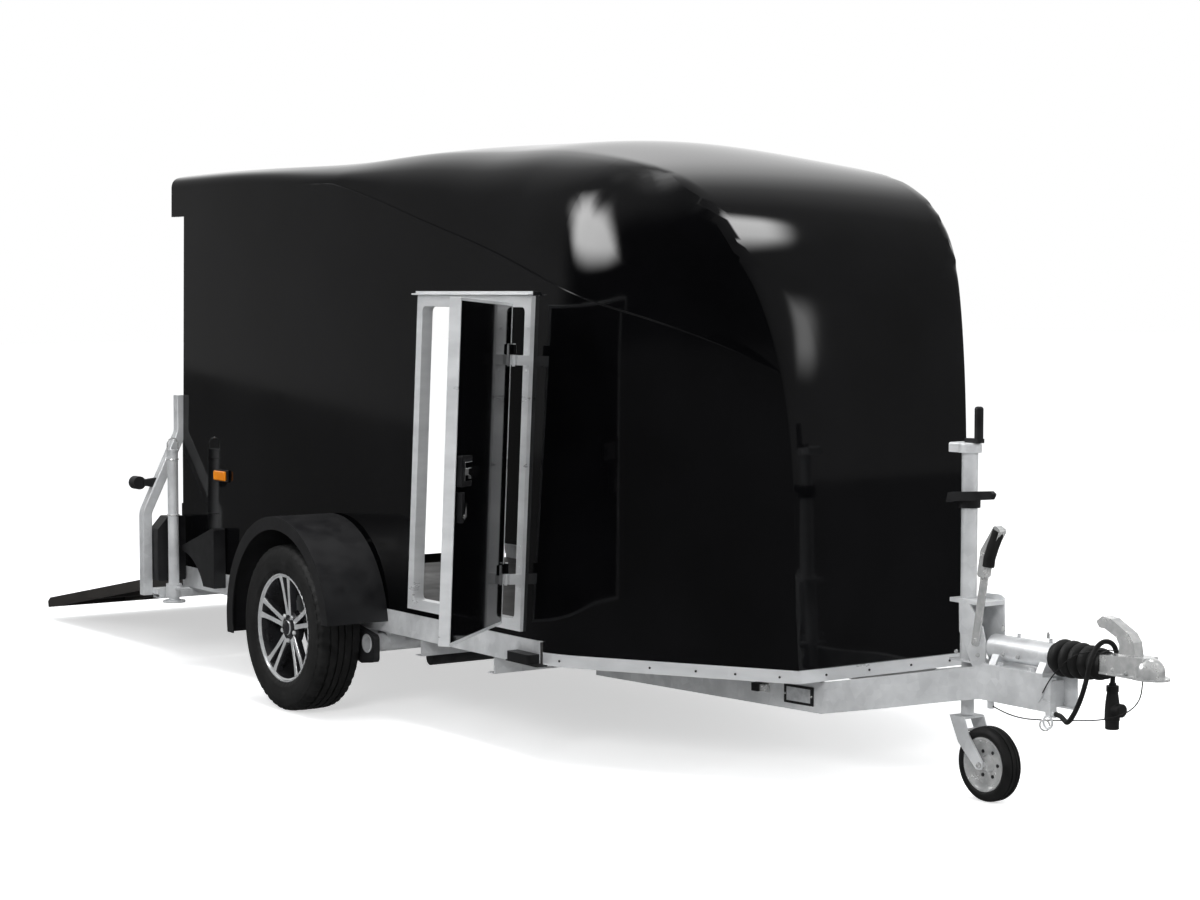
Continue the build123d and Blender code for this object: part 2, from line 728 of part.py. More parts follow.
# ---------------------------------------------------------------- axle, arms and wheels
tube_y = half_body + 40
arm_y = wheel_y - 108
with BuildPart() as axle_tube:
    with BuildSketch(side_on(tube_y)):
        with Locations((axle_tube_ahead, axle_tube_height)):
            Circle(axle_tube_diameter / 2)
            Circle(axle_tube_diameter / 2 - 5, mode=Mode.SUBTRACT)
    extrude(amount=2 * tube_y)
    for flip in (-1, 1):
        with BuildSketch(side_on(flip * (half_body - 60) + 30)) as saddle:
            with Locations((axle_tube_ahead, axle_tube_height)):
                Rectangle(90, sill_foot - axle_tube_height, align=(Align.CENTER, Align.MIN))
                Circle(axle_tube_diameter / 2 - 2, mode=Mode.SUBTRACT)
        extrude(saddle.sketch, amount=60)
save(axle_tube, "axle_tube")

with BuildPart() as lift_cylinder:
    with BuildSketch(side_on(half_body - 60)):
        with Locations((axle_tube_ahead + 60, axle_tube_height - 62)):
            Circle(26)
    extrude(amount=2 * half_body - 240)
    with BuildSketch(side_on(half_body - 230)):
        with Locations((axle_tube_ahead + 60, axle_tube_height - 62)):
            Rectangle(76, 76)
    extrude(amount=36)
save(lift_cylinder, "lift_cylinder")

with BuildPart() as swing_arm:
    with BuildSketch(side_on(-arm_y + 12)):
        with BuildLine():
            Polyline((axle_tube_ahead + 46, axle_tube_height + 30),
                     (axle_tube_ahead + 46, axle_tube_height - 62),
                     (axle_tube_ahead - 40, axle_tube_height - 74),
                     (-50, tyre_radius - 40), (-50, tyre_radius + 40), (60, tyre_radius + 46),
                     close=True)
        make_face()
        fillet(vertices(), radius=18)
        with Locations((axle_tube_ahead, axle_tube_height)):
            Circle(axle_tube_diameter / 2 + gap, mode=Mode.SUBTRACT)
    extrude(amount=24)
    # brake back plate and stub
    with BuildSketch(side_on(-arm_y - 12)):
        with Locations((0, tyre_radius)):
            Circle(112)
    extrude(amount=30)
    with BuildSketch(side_on(-arm_y - 12)):
        with Locations((0, tyre_radius)):
            Circle(stub_diameter / 2)
    extrude(amount=wheel_y - arm_y + 40)
save_pair(swing_arm, "swing_arms")

wheel_axis = Plane(origin=at(0, -wheel_y, tyre_radius), x_dir=(1, 0, 0), z_dir=(0, -1, 0))
rim_radius = rim_lip_diameter / 2
spoke_count = 5

with BuildPart() as rim:
    # barrel with its two lips, turned about the axle
    with BuildSketch(Plane(wheel_axis.origin, x_dir=(0, -1, 0), z_dir=(-1, 0, 0))):
        with BuildLine():
            Polyline((-rim_width / 2, rim_radius), (-rim_width / 2 + 5, rim_radius),
                     (-rim_width / 2 + 7, rim_radius - 14), (-20, rim_radius - 24),
                     (rim_width / 2 - 7, rim_radius - 14), (rim_width / 2 - 5, rim_radius),
                     (rim_width / 2, rim_radius), (rim_width / 2, rim_radius - 12),
                     (20, rim_radius - 34), (-40, rim_radius - 34),
                     (-rim_width / 2, rim_radius - 18), close=True)
        make_face()
    revolve(axis=Axis(wheel_axis.origin, (0, 1, 0)))
    # hub disc and five pairs of spokes
    with BuildSketch(wheel_axis.offset(18)):
        Circle(64)
        Circle(stub_diameter / 2 + running_fit, mode=Mode.SUBTRACT)
    extrude(amount=34)
    with BuildSketch(wheel_axis.offset(26)):
        with PolarLocations(0, spoke_count, start_angle=90):
            for turn in (-13, 13):
                with Locations(Location((60, turn * 1.4, 0), turn * 0.62)):
                    Rectangle(rim_radius - 86, 26, align=(Align.MIN, Align.CENTER))
        Circle(50, mode=Mode.SUBTRACT)
    extrude(amount=24)
    # brake drum behind the disc
    with BuildSketch(wheel_axis.offset(-60)):
        Circle(100)
        Circle(stub_diameter / 2 + running_fit, mode=Mode.SUBTRACT)
    extrude(amount=78)
save(rim, "rim_right")
save_mirrored(rim, "rim_left")

with BuildPart() as tyre:
    with BuildSketch(Plane(wheel_axis.origin, x_dir=(0, -1, 0), z_dir=(-1, 0, 0))):
        with BuildLine():
            half = tyre_width / 2
            seat = rim_width / 2 - 7
            over_lip = rim_radius + gap
            foot = Polyline((-seat - 2, over_lip), (-seat, rim_radius - 14),
                            (-20, rim_radius - 24), (seat, rim_radius - 14),
                            (seat + 2, over_lip), (seat + 8, over_lip))
            wall = Spline(foot @ 1, (half, rim_radius + 48), (half - 12, tyre_radius - 14))
            tread = Polyline(wall @ 1, (half - 26, tyre_radius), (26 - half, tyre_radius),
                             (12 - half, tyre_radius - 14))
            Spline(tread @ 1, (-half, rim_radius + 48), (-seat - 8, over_lip))
            Line((-seat - 8, over_lip), foot @ 0)
        make_face()
    revolve(axis=Axis(wheel_axis.origin, (0, 1, 0)))
save(tyre, "tyre_right")
save_mirrored(tyre, "tyre_left")

# mudguards
guard_radius = 385.0
guard_sheet = 4.0
guard_front_foot = 345.0
guard_rear_foot = 240.0
guard_out = wheel_y + tyre_width / 2 + 12
with BuildPart() as mudguard:
    with BuildSketch(side_on(-half_body - gap)):
        with Locations((0, tyre_radius + 10)):
            Circle(guard_radius)
            Circle(guard_radius - guard_sheet, mode=Mode.SUBTRACT)
        with Locations((0, guard_rear_foot)):
            Rectangle(900, 400, align=(Align.CENTER, Align.MAX), mode=Mode.SUBTRACT)
        with Locations((0, guard_front_foot)):
            Rectangle(450, 400, align=(Align.MIN, Align.MAX), mode=Mode.SUBTRACT)
    extrude(amount=guard_out - half_body)
    with BuildSketch(side_on(-guard_out)):
        with Locations((0, tyre_radius + 10)):
            Circle(guard_radius)
            Circle(guard_radius - 46, mode=Mode.SUBTRACT)
        with Locations((0, guard_rear_foot)):
            Rectangle(900, 400, align=(Align.CENTER, Align.MAX), mode=Mode.SUBTRACT)
        with Locations((0, guard_front_foot)):
            Rectangle(450, 400, align=(Align.MIN, Align.MAX), mode=Mode.SUBTRACT)
    extrude(amount=guard_sheet)
save_pair(mudguard, "mudguards")

# ---------------------------------------------------------------- rear frame, guards and legs
beam_x = -1262.0
beam_depth = 56.0
beam_foot = 268.0
guard_foot_y = guard_path[-1][0]
hinge_places = (-600.0, -200.0, 200.0, 600.0)
hinge_width = 50.0
barrel_radius = 11.0
pin_radius = 6.0
hinge_point = (-ramp_hinge_back, ramp_hinge_height)

with BuildPart() as rear_beam:
    with BuildSketch(side_on(guard_foot_y - guard_tube / 2 - gap)):
        with Locations((beam_x, beam_foot)):
            Rectangle(beam_depth, sill_foot - beam_foot, align=Align.MIN)
            with Locations((4, 4)):
                Rectangle(beam_depth - 8, sill_foot - beam_foot - 8, align=Align.MIN,
                          mode=Mode.SUBTRACT)
    extrude(amount=2 * (guard_foot_y - guard_tube / 2 - gap))
    # arms back to the ramp hinges, each with a length of barrel
    for y in hinge_places:
        with BuildSketch(side_on(y + hinge_width / 2)) as arm:
            with BuildLine():
                Polyline((beam_x + 2, beam_foot), (beam_x + 2, ramp_hinge_height),
                         (hinge_point[0], ramp_hinge_height + barrel_radius - 1),
                         (hinge_point[0], ramp_hinge_height - barrel_radius + 1),
                         (beam_x - 30, beam_foot), close=True)
            make_face()
            with Locations(hinge_point):
                Circle(barrel_radius)
                Circle(pin_radius + running_fit, mode=Mode.SUBTRACT)
        extrude(arm.sketch, amount=hinge_width)
    # plate under the edge of the closed ramp
    with BuildSketch(level(ramp_hinge_height)) as threshold:
        with Locations((-body_rear - gap, 0)):
            Rectangle(46, 2 * ramp_half_width - 12, align=(Align.MAX, Align.CENTER))
    extrude(threshold.sketch, amount=6)
save(rear_beam, "rear_beam")

stud_gap = 1.5               # strut eye to its stud
with BuildPart() as rear_guard:
    # the bent square tube, swept along its path
    corners = [(-guard_path[0][0], guard_top)] + [(-y, z) for y, z in guard_path]
    with BuildLine(Plane(at(guard_x, 0, 0), x_dir=(0, 1, 0), z_dir=(1, 0, 0))) as route:
        FilletPolyline(*corners, radius=60)
    top_plane = Plane(at(guard_x, -guard_path[0][0], guard_top), x_dir=(1, 0, 0), z_dir=(0, 0, -1))
    with BuildSketch(top_plane) as section:
        RectangleRounded(guard_tube, guard_tube, 5)
    sweep(section.sketch, path=route.wires()[0])
    # cap and the foot plate that meets the beam
    with BuildSketch(level(guard_top)) as cap:
        with Locations((guard_x, -guard_path[0][0])):
            RectangleRounded(guard_tube, guard_tube, 5)
    extrude(cap.sketch, amount=6)
    with BuildSketch(side_on(-guard_foot_y + guard_tube / 2)) as foot_plate:
        with Locations((guard_x, beam_foot + 16)):
            Rectangle(beam_x + beam_depth - guard_x, sill_foot - beam_foot - 16,
                      align=Align.MIN)
    extrude(foot_plate.sketch, amount=6)
    # stud for the gas strut's eye
    with BuildSketch(side_on(-strut_y - strut_eye_width / 2 - stud_gap)) as stud:
        with Locations((strut_pin_x, strut_pin_height)):
            Circle(6)
    extrude(stud.sketch, amount=20)
save_pair(rear_guard, "rear_guards")

light_x = -1285.0
light_depth = 70.0
light_outer = -guard_foot_y + guard_tube / 2 + gap
with BuildPart() as rear_light:
    with BuildSketch(end_on(light_x)):
        Polygon((light_outer, 335), (-775, 335), (-775, 590), (-850, 590), (light_outer, 540),
                align=None)
        fillet(vertices(), radius=8)
    extrude(amount=light_depth)
save_pair(rear_light, "rear_lights")

with BuildPart() as rear_lens:
    with BuildSketch(end_on(light_x - gap)):
        Polygon((-885, 345), (-783, 345), (-783, 575), (-847, 575), (-885, 533), align=None)
        fillet(vertices(), radius=6)
    extrude(amount=-14)
save_pair(rear_lens, "rear_lenses")

leg_clamp_foot = sill_foot - 30
with BuildPart() as leg_clamp:
    # arm from the beam to the collar that holds the leg
    with BuildSketch(level(leg_clamp_foot)):
        with Locations((beam_x + beam_depth + gap, -half_body - 10)):
            Rectangle(60, leg_y - half_body, align=(Align.MIN, Align.MAX))
    extrude(amount=28)
    with BuildSketch(level(leg_clamp_foot)) as collar:
        with Locations((leg_x, -leg_y)):
            Circle(leg_diameter / 2 + 10)
    extrude(collar.sketch, amount=52)
    with BuildSketch(level(leg_clamp_foot - 1)) as bore:
        with Locations((leg_x, -leg_y)):
            Circle(leg_diameter / 2 + gap)
    extrude(bore.sketch, amount=60, mode=Mode.SUBTRACT)
    # clamping screw with its cross handle
    with BuildSketch(end_on(leg_x + leg_diameter / 2 + 4)) as screw:
        with Locations((-leg_y, leg_clamp_foot + 38)):
            Circle(6)
    extrude(screw.sketch, amount=50)
    with BuildSketch(side_on(-leg_y + 30)) as handle:
        with Locations((leg_x + leg_diameter / 2 + 54, leg_clamp_foot + 38)):
            Circle(5)
    extrude(handle.sketch, amount=60)
save_pair(leg_clamp, "leg_clamps")

with BuildPart() as steady_leg:
    with BuildSketch(level(leg_foot)):
        with Locations((leg_x, -leg_y)):
            Circle(leg_diameter / 2)
            Circle(leg_diameter / 2 - 3, mode=Mode.SUBTRACT)
    extrude(amount=leg_top - leg_foot)
    with BuildSketch(level(leg_foot - 6)):
        with Locations((leg_x, -leg_y)):
            Circle(44)
    extrude(amount=8)
    with BuildSketch(level(leg_top)):
        with Locations((leg_x, -leg_y)):
            Circle(leg_diameter / 2 + 2)
    extrude(amount=8)
save(steady_leg, "steady_leg_right")
save_mirrored(steady_leg, "steady_leg_left")

guard_run = (guard_path[1][0] - guard_path[0][0]) / (guard_path[0][1] - guard_path[1][1])


def guard_outer(z):
    """Outer face of the sloping stretch of the right guard, at a height."""
    centre = guard_path[0][0] + guard_run * (guard_path[0][1] - z)
    return -centre - guard_tube / 2 * hypot(1, guard_run)


with BuildPart() as marker_arm:
    with BuildSketch(end_on(guard_x - 12)):
        Polygon((guard_outer(705) - gap, 705), (guard_outer(741) - gap, 741), (-925, 735),
                (-925, 711), align=None)
    extrude(amount=24)
    with BuildSketch(end_on(guard_x - 44)):
        with Locations((-940, 723)):
            Circle(26)
    extrude(amount=50)
save_pair(marker_arm, "marker_arms")

# ---------------------------------------------------------------- ramp and its gas struts
slope = radians(ramp_slope)
hinge_at = at(hinge_point[0], 0, hinge_point[1])
ramp_along = (-cos(slope), 0, -sin(slope))
ramp_near = 18.0


def ramp_side(y):
    """Side view in the ramp's own frame: x along the ramp from its hinge, y up."""
    return Plane(origin=Vector(hinge_at.X, y, hinge_at.Z), x_dir=ramp_along, z_dir=(0, 1, 0))


bay_rows = 3
bay_columns = 4
ramp_rib = 34.0
ramp_deck = 15.0
with BuildPart() as ramp:
    with BuildSketch(ramp_side(-ramp_half_width)) as panel:
        Polygon((ramp_near, ramp_rise), (ramp_length, ramp_rise),
                (ramp_length, ramp_rise + ramp_thickness - 14),
                (ramp_length - 30, ramp_rise + ramp_thickness),
                (ramp_near, ramp_rise + ramp_thickness), align=None)
    extrude(panel.sketch, amount=2 * ramp_half_width)
    # bays between the ribs of the underside
    bay_length = (ramp_length - ramp_near - (bay_rows + 1) * ramp_rib) / bay_rows
    bay_width = (2 * ramp_half_width - (bay_columns + 1) * ramp_rib) / bay_columns
    for row in range(bay_rows):
        for column in range(bay_columns):
            start = ramp_near + ramp_rib + row * (bay_length + ramp_rib)
            side = -ramp_half_width + ramp_rib + column * (bay_width + ramp_rib)
            with BuildSketch(ramp_side(side)) as bay:
                with Locations((start, ramp_rise)):
                    Rectangle(bay_length, ramp_thickness - ramp_deck, align=Align.MIN)
            extrude(bay.sketch, amount=bay_width, mode=Mode.SUBTRACT)
    # hinge leaves and barrels between the beam's
    for y in hinge_places:
        for shift in (-hinge_width - 1, hinge_width + 1):
            with BuildSketch(ramp_side(y + shift - hinge_width / 2)) as leaf:
                with BuildLine():
                    Polyline((0, -barrel_radius + 2), (ramp_near + 10, ramp_rise - 4),
                             (ramp_near + 90, ramp_rise - 4), (ramp_near + 90, ramp_rise + 2),
                             (ramp_near, ramp_rise + 2), (0, barrel_radius - 2), close=True)
                make_face()
                Circle(barrel_radius)
            extrude(leaf.sketch, amount=hinge_width)
        with BuildSketch(ramp_side(y - hinge_width)) as pin:
            Circle(pin_radius)
        extrude(pin.sketch, amount=2 * hinge_width)
    # side plates with the lower pins of the gas struts
    lever = (-strut_lever_ahead * cos(slope) - strut_lever_up * sin(slope),
             strut_lever_up * cos(slope) - strut_lever_ahead * sin(slope))
    for side in (-ramp_half_width - 4, ramp_half_width):
        with BuildSketch(ramp_side(side)) as side_plate:
            with BuildLine():
                Polyline((lever[0] - 9, lever[1] - 9), (ramp_near + 10, ramp_rise),
                         (ramp_near + 160, ramp_rise), (ramp_near + 160, ramp_rise + 30),
                         (ramp_near, ramp_rise + 34), (lever[0] - 9, lever[1] + 9), close=True)
            make_face()
            fillet(vertices(), radius=6)
        extrude(side_plate.sketch, amount=4)
    for side in (-strut_y - strut_eye_width / 2, ramp_half_width):
        with BuildSketch(ramp_side(side)) as strut_pin:
            with Locations(lever):
                Circle(5)
        extrude(strut_pin.sketch, amount=strut_y + strut_eye_width / 2 - ramp_half_width)
save(ramp, "ramp")

lower_pin = (hinge_point[0] + strut_lever_ahead, hinge_point[1] + strut_lever_up)
strut_length = hypot(strut_pin_x - lower_pin[0], strut_pin_height - lower_pin[1])
strut_way = ((strut_pin_x - lower_pin[0]) / strut_length, 0,
             (strut_pin_height - lower_pin[1]) / strut_length)


def along_strut(distance):
    """Sketch plane square to the right strut, at a distance from its lower pin."""
    foot = at(lower_pin[0], -strut_y, lower_pin[1])
    return Plane(origin=foot + Vector(*strut_way) * distance, x_dir=(0, 1, 0), z_dir=strut_way)


with BuildPart() as strut_cylinder:
    with BuildSketch(along_strut(8)):
        Circle(strut_tube_diameter / 2)
    extrude(amount=strut_tube_length)
    with BuildSketch(along_strut(20)):
        Circle(strut_rod_diameter / 2 + running_fit)
    extrude(amount=strut_tube_length, mode=Mode.SUBTRACT)
    with BuildSketch(side_on(-strut_y + strut_eye_width / 2)) as eye:
        with Locations(lower_pin):
            Circle(9)
    extrude(eye.sketch, amount=strut_eye_width)
    with BuildSketch(side_on(-strut_y + 2 * strut_eye_width)) as eye_bore:
        with Locations(lower_pin):
            Circle(5 + running_fit)
    extrude(eye_bore.sketch, amount=4 * strut_eye_width, mode=Mode.SUBTRACT)
save(strut_cylinder, "strut_cylinder_right")
save_mirrored(strut_cylinder, "strut_cylinder_left")

with BuildPart() as strut_rod:
    with BuildSketch(along_strut(strut_length - strut_rod_length)):
        Circle(strut_rod_diameter / 2)
    extrude(amount=strut_rod_length - 4)
    with BuildSketch(side_on(-strut_y + strut_eye_width / 2)) as eye:
        with Locations((strut_pin_x, strut_pin_height)):
            Circle(7)
    extrude(eye.sketch, amount=strut_eye_width)
save(strut_rod, "strut_rod_right")
save_mirrored(strut_rod, "strut_rod_left")

# ---------------------------------------------------------------- side door
with BuildPart() as door_frame:
    with BuildSketch(door_plane.offset(-frame_depth + frame_proud)):
        with Locations((door_width / 2, door_height / 2)):
            RectangleRounded(door_width - 2 * gap, door_height - 2 * gap, 0.5)
            RectangleRounded(door_width - 2 * frame_face, door_height - 2 * frame_face, 18,
                             mode=Mode.SUBTRACT)
    extrude(amount=frame_depth)
save(door_frame, "door_frame")

hinge_local = (door_width - 22, frame_proud + 45)
leaf_inner = frame_proud + leaf_clearance
hinge_origin = door_plane.from_local_coords(Vector(hinge_local[0], 0, hinge_local[1]))
hinge_axis = Axis(hinge_origin, door_plane.y_dir)
knuckle_radius = 8.0
knuckle_length = 32.0
door_hinge_heights = (150.0, 840.0)


def across_door(height):
    """Sketch plane square to the door's hinge axis: x ahead, y out from the wall."""
    return Plane(origin=door_plane.from_local_coords(Vector(0, height, 0)),
                 x_dir=(1, 0, 0), z_dir=-door_plane.y_dir)


with BuildPart() as door_hinges:
    for height in door_hinge_heights:
        with BuildSketch(across_door(height)) as block:
            with Locations((hinge_local[0] + 5, frame_proud + gap)):
                Rectangle(17, hinge_local[1] - frame_proud, align=Align.MIN)
            with Locations(hinge_local):
                Circle(knuckle_radius)
        extrude(block.sketch, amount=-knuckle_length)
        with BuildSketch(across_door(height - 4)) as pin:
            with Locations(hinge_local):
                Circle(5)
        extrude(pin.sketch, amount=-2 * knuckle_length - 8)
save(door_hinges, "door_hinges")

with BuildPart() as closed_leaf:
    with BuildSketch(door_plane.offset(leaf_inner)):
        with Locations((leaf_edge, leaf_edge)):
            Rectangle(hinge_local[0] - 4 - leaf_edge, door_height - 2 * leaf_edge - 2,
                      align=Align.MIN)
    extrude(amount=leaf_thickness)
    fillet(edges().filter_by(Axis(hinge_origin, door_plane.y_dir)), radius=3)
    # straps and knuckles above the frame's
    for height in door_hinge_heights:
        with BuildSketch(across_door(height + knuckle_length + 1)) as strap:
            with Locations((hinge_local[0] - 80, leaf_inner + leaf_thickness)):
                Rectangle(80, 5, align=Align.MIN)
            with Locations(hinge_local):
                Circle(knuckle_radius)
                Circle(5 + running_fit, mode=Mode.SUBTRACT)
        extrude(strap.sketch, amount=-knuckle_length)

with BuildPart() as side_door:
    add(closed_leaf.part.rotate(hinge_axis, door_open_angle))
save(side_door, "side_door")

with BuildPart() as closed_latch:
    with BuildSketch(door_plane.offset(leaf_inner + leaf_thickness + gap)):
        with Locations((110, 0.5 * door_height)):
            RectangleRounded(120, 90, 8)
    extrude(amount=14)

with BuildPart() as door_latch:
    add(closed_latch.part.rotate(hinge_axis, door_open_angle))
save(door_latch, "door_latch")

# ---------------------------------------------------------------- lamps and wheel chock
with BuildPart() as front_marker:
    with BuildSketch(level(318)):
        with Locations((1203, -half_body - gap)):
            Rectangle(127, 44, align=(Align.MIN, Align.MAX))
        fillet(vertices().group_by(Axis.Y)[0], radius=12)
    extrude(amount=29)
    with BuildSketch(level(318 - 4)) as bracket:
        with Locations((1203 - 10, -half_body - gap)):
            Rectangle(182, 38, align=(Align.MIN, Align.MAX))
    extrude(bracket.sketch, amount=4)
save_pair(front_marker, "front_markers")

chock_width = 50.0
with BuildPart() as wheel_chock:
    with BuildSketch(side_on(-half_body - gap)):
        with BuildLine():
            outline = Polyline((-970, 334), (-875, 334), (-875, 560), (-890, 566), (-1160, 478),
                               (-1160, 458))
            ThreePointArc(outline @ 1, (-1023, 402), outline @ 0)
        make_face()
    extrude(amount=chock_width)
save(wheel_chock, "wheel_chock")

# ---------------------------------------------------------------- cables at the coupling
# The routes are points over the road.  Each cable is straight runs joined by arcs.
cable_diameter = 14.0        # electric cable
wire_diameter = 3.5          # breakaway and safety cables

# bracket on the front of the right rail: cable clip, ferrule and a ring that hangs
clip_thickness = 4.0
clip_y = -rail_half - gap
ferrule_foot = (2796, -62, 334)
ferrule_top = (2812, -62, 360)
cable_exit = (rail_front + gap + 12.1, -46, 303)
ring_at = (2829, clip_y - clip_thickness / 2, 279)
with BuildPart() as cable_bracket:
    with BuildSketch(side_on(clip_y)) as clip_plate:
        Polygon((2784, 318), (2796, 308), (2820, 308), (2822, 294), (2836, 294),
                (rail_front + gap + clip_thickness, 306), (rail_front + gap + clip_thickness, 338),
                (2790, 344), align=None)
    extrude(clip_plate.sketch, amount=clip_thickness)
    with BuildSketch(end_on(rail_front + gap)) as front_plate:
        with Locations((clip_y - clip_thickness, 293)):
            Rectangle(26, 40, align=Align.MIN)
    extrude(front_plate.sketch, amount=clip_thickness)
    with BuildSketch(end_on(rail_front + gap)) as gland:
        with Locations((cable_exit[1], cable_exit[2])):
            Circle(cable_diameter / 2 + 3)
    extrude(gland.sketch, amount=12)
    foot, top = at(*ferrule_foot), at(*ferrule_top)
    with BuildSketch(Plane(origin=foot, z_dir=top - foot)) as ferrule:
        Circle(4)
    extrude(ferrule.sketch, amount=(top - foot).length)
    with Locations(Plane(origin=at(*ring_at), z_dir=(0, 1, 0))):
        Torus(17, 3)
save(cable_bracket, "cable_bracket")

# bolt under the rail that holds the rear end of the safety cable
safety_anchor = (2586, -42, 291)
with BuildPart() as cable_anchor:
    with BuildSketch(level(safety_anchor[2] - 8)) as anchor_face:
        with Locations((safety_anchor[0], safety_anchor[1])):
            RegularPolygon(10, 6)
    extrude(anchor_face.sketch, amount=rail_foot_front - gap - safety_anchor[2] + 8)
save(cable_anchor, "cable_anchor")


def cable(route, diameter, label):
    """Tube along straight runs and the largest arcs that fit between them."""
    points = [at(*point) for point in route]
    runs = [(b - a).length for a, b in zip(points, points[1:])]
    radii = []
    for before, here, after, run, following in zip(points, points[1:], points[2:], runs, runs[1:]):
        turn = radians((here - before).get_angle(after - here))
        radii.append(0.45 * min(run, following) / tan(turn / 2))
    with BuildPart() as tube:
        with BuildLine() as line:
            FilletPolyline(*points, radius=radii)
        wire = line.wires()[0]
        with BuildSketch(Plane(origin=points[0], z_dir=points[1] - points[0])) as section:
            Circle(diameter / 2)
        sweep(section.sketch, path=wire)
    expected = pi * diameter ** 2 / 4 * wire.length
    print(label, "length", round(wire.length, 1), "volume ratio",
          round(tube.part.volume / expected, 4), "radii", [round(r) for r in radii])
    save(tube, label)


plug_top = (2954, 66, 396)
electric_route = [cable_exit, (2864, -46, 303), (2889, -57, 297), (2919, -72, 289),
                  (2947, -75, 322),
                  (2968, -74, 362), (2980, -70, 402), (2987, -67, 437), (2990, -61, 471),
                  (2989, -42, 503), (2987, -14, 520), (2984, 14, 520), (2980, 42, 507),
                  (2973, 62, 479), (2963, 68, 448), (2954, 66, 420), plug_top]
cable(electric_route, cable_diameter, "electric_cable")

breakaway_route = [ferrule_top, (2830, -63, 388), (2854, -64, 416), (2882, -63, 443),
                   (2911, -59, 470), (2939, -47, 486), (2967, -35, 493), (2996, -23, 498),
                   (3024, -12, 503), (ball_x - 98.5, -2, 501)]
cable(breakaway_route, wire_diameter, "breakaway_cable")

safety_route = [(safety_anchor[0] + 10, -42, 290), (2634, -43, 281), (2682, -45, 274.5),
                (2734, -46, 274), (2786, -46, 279), (2838, -44, 285), (2888, -40, 291),
                (2936, -32, 297), (2984, -24, 304), (3030, -18, 316), (3070, -17, 331),
                (3108, -21, 352), (3137, -27, 378), (3153, -33, 406),
                (3158, -36, lip_foot - gap)]
cable(safety_route, wire_diameter, "safety_cable")

# plug, hanging with its parking cap ahead
with BuildPart() as cable_plug:
    with BuildSketch(Plane(at(plug_top[0], plug_top[1], 0), x_dir=(0, 1, 0), z_dir=(1, 0, 0))):
        with BuildLine():
            Polyline((0, 396), (9, 396), (11, 388), (17.5, 388), (17.5, 372), (15.5, 370),
                     (19, 345), (21, 318), (21.5, 292), (19.5, 290), (19.5, 268), (17.5, 266),
                     (0, 266), close=True)
        make_face()
    revolve(axis=Axis(at(plug_top[0], plug_top[1], 0), (0, 0, 1)))
    with BuildSketch(end_on(plug_top[0])) as cap:
        with Locations((plug_top[1], 322)):
            Circle(19)
    extrude(cap.sketch, amount=40)
    fillet(edges().filter_by(GeomType.CIRCLE).sort_by(Axis.X)[-1], radius=5)
save(cable_plug, "cable_plug")
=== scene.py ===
import json
import math

import bmesh
import bpy
import numpy as np
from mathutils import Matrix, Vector


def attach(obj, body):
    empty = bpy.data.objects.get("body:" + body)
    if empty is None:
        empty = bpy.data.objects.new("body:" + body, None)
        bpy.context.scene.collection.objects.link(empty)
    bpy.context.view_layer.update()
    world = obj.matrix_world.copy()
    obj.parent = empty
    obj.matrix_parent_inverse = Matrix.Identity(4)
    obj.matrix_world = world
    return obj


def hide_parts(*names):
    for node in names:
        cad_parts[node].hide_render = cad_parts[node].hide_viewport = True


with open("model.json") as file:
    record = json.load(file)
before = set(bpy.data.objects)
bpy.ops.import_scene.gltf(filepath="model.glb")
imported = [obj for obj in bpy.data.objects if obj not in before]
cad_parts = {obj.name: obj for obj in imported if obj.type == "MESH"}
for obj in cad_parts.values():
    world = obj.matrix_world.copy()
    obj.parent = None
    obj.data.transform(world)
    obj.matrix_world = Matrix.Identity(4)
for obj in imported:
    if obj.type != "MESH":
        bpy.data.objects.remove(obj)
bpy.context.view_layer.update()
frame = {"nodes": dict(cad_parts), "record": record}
nodes = frame["nodes"]
slot_of = {row["node"]: row["material_slot"] for row in frame["record"]["subparts"]}

# The frame's origin is the ball socket: 3.15 m ahead of the axle, 0.46 m over the road.
REACH, HEIGHT = 3.15, 0.46


def P(x, y, z):
    """Millimetres from the road under the axle, as a point in the frame."""
    return Vector((x / 1000 - REACH, y / 1000, z / 1000 - HEIGHT))


# ---------------------------------------------------------------- camera
camera_data = bpy.data.cameras.new("camera")
camera = bpy.data.objects.new("camera", camera_data)
bpy.context.scene.collection.objects.link(camera)
bpy.context.scene.camera = camera
camera_data.sensor_width = 36
camera_data.lens = 73.1
camera.location = (4.496, -4.923, 1.019)
ahead = Vector((-0.8196, 0.5692, -0.0650)).normalized()
camera.rotation_mode = "QUATERNION"
camera.rotation_quaternion = ahead.to_track_quat("-Z", "Y")
camera_data.clip_end = 400

# ---------------------------------------------------------------- materials
materials = {}


def shader(name):
    """A new material: its node tree, its Principled shader and short makers of nodes."""
    material = bpy.data.materials.new(name)
    material.use_nodes = True
    tree = material.node_tree
    return material, tree, tree.nodes["Principled BSDF"]


def node(tree, kind, **values):
    made = tree.nodes.new(kind)
    for key, value in values.items():
        if key in made.inputs:
            made.inputs[key].default_value = value
        else:
            setattr(made, key, value)
    return made


def ramp(tree, source, stops):
    """Colour ramp from a value; stops are (place, grey or colour)."""
    made = tree.nodes.new("ShaderNodeValToRGB")
    while len(made.color_ramp.elements) < len(stops):
        made.color_ramp.elements.new(0.5)
    for element, (place, tone) in zip(made.color_ramp.elements, stops):
        element.position = place
        element.color = (*tone, 1) if isinstance(tone, tuple) else (tone, tone, tone, 1)
    tree.links.new(source, made.inputs["Fac"])
    return made.outputs["Color"]


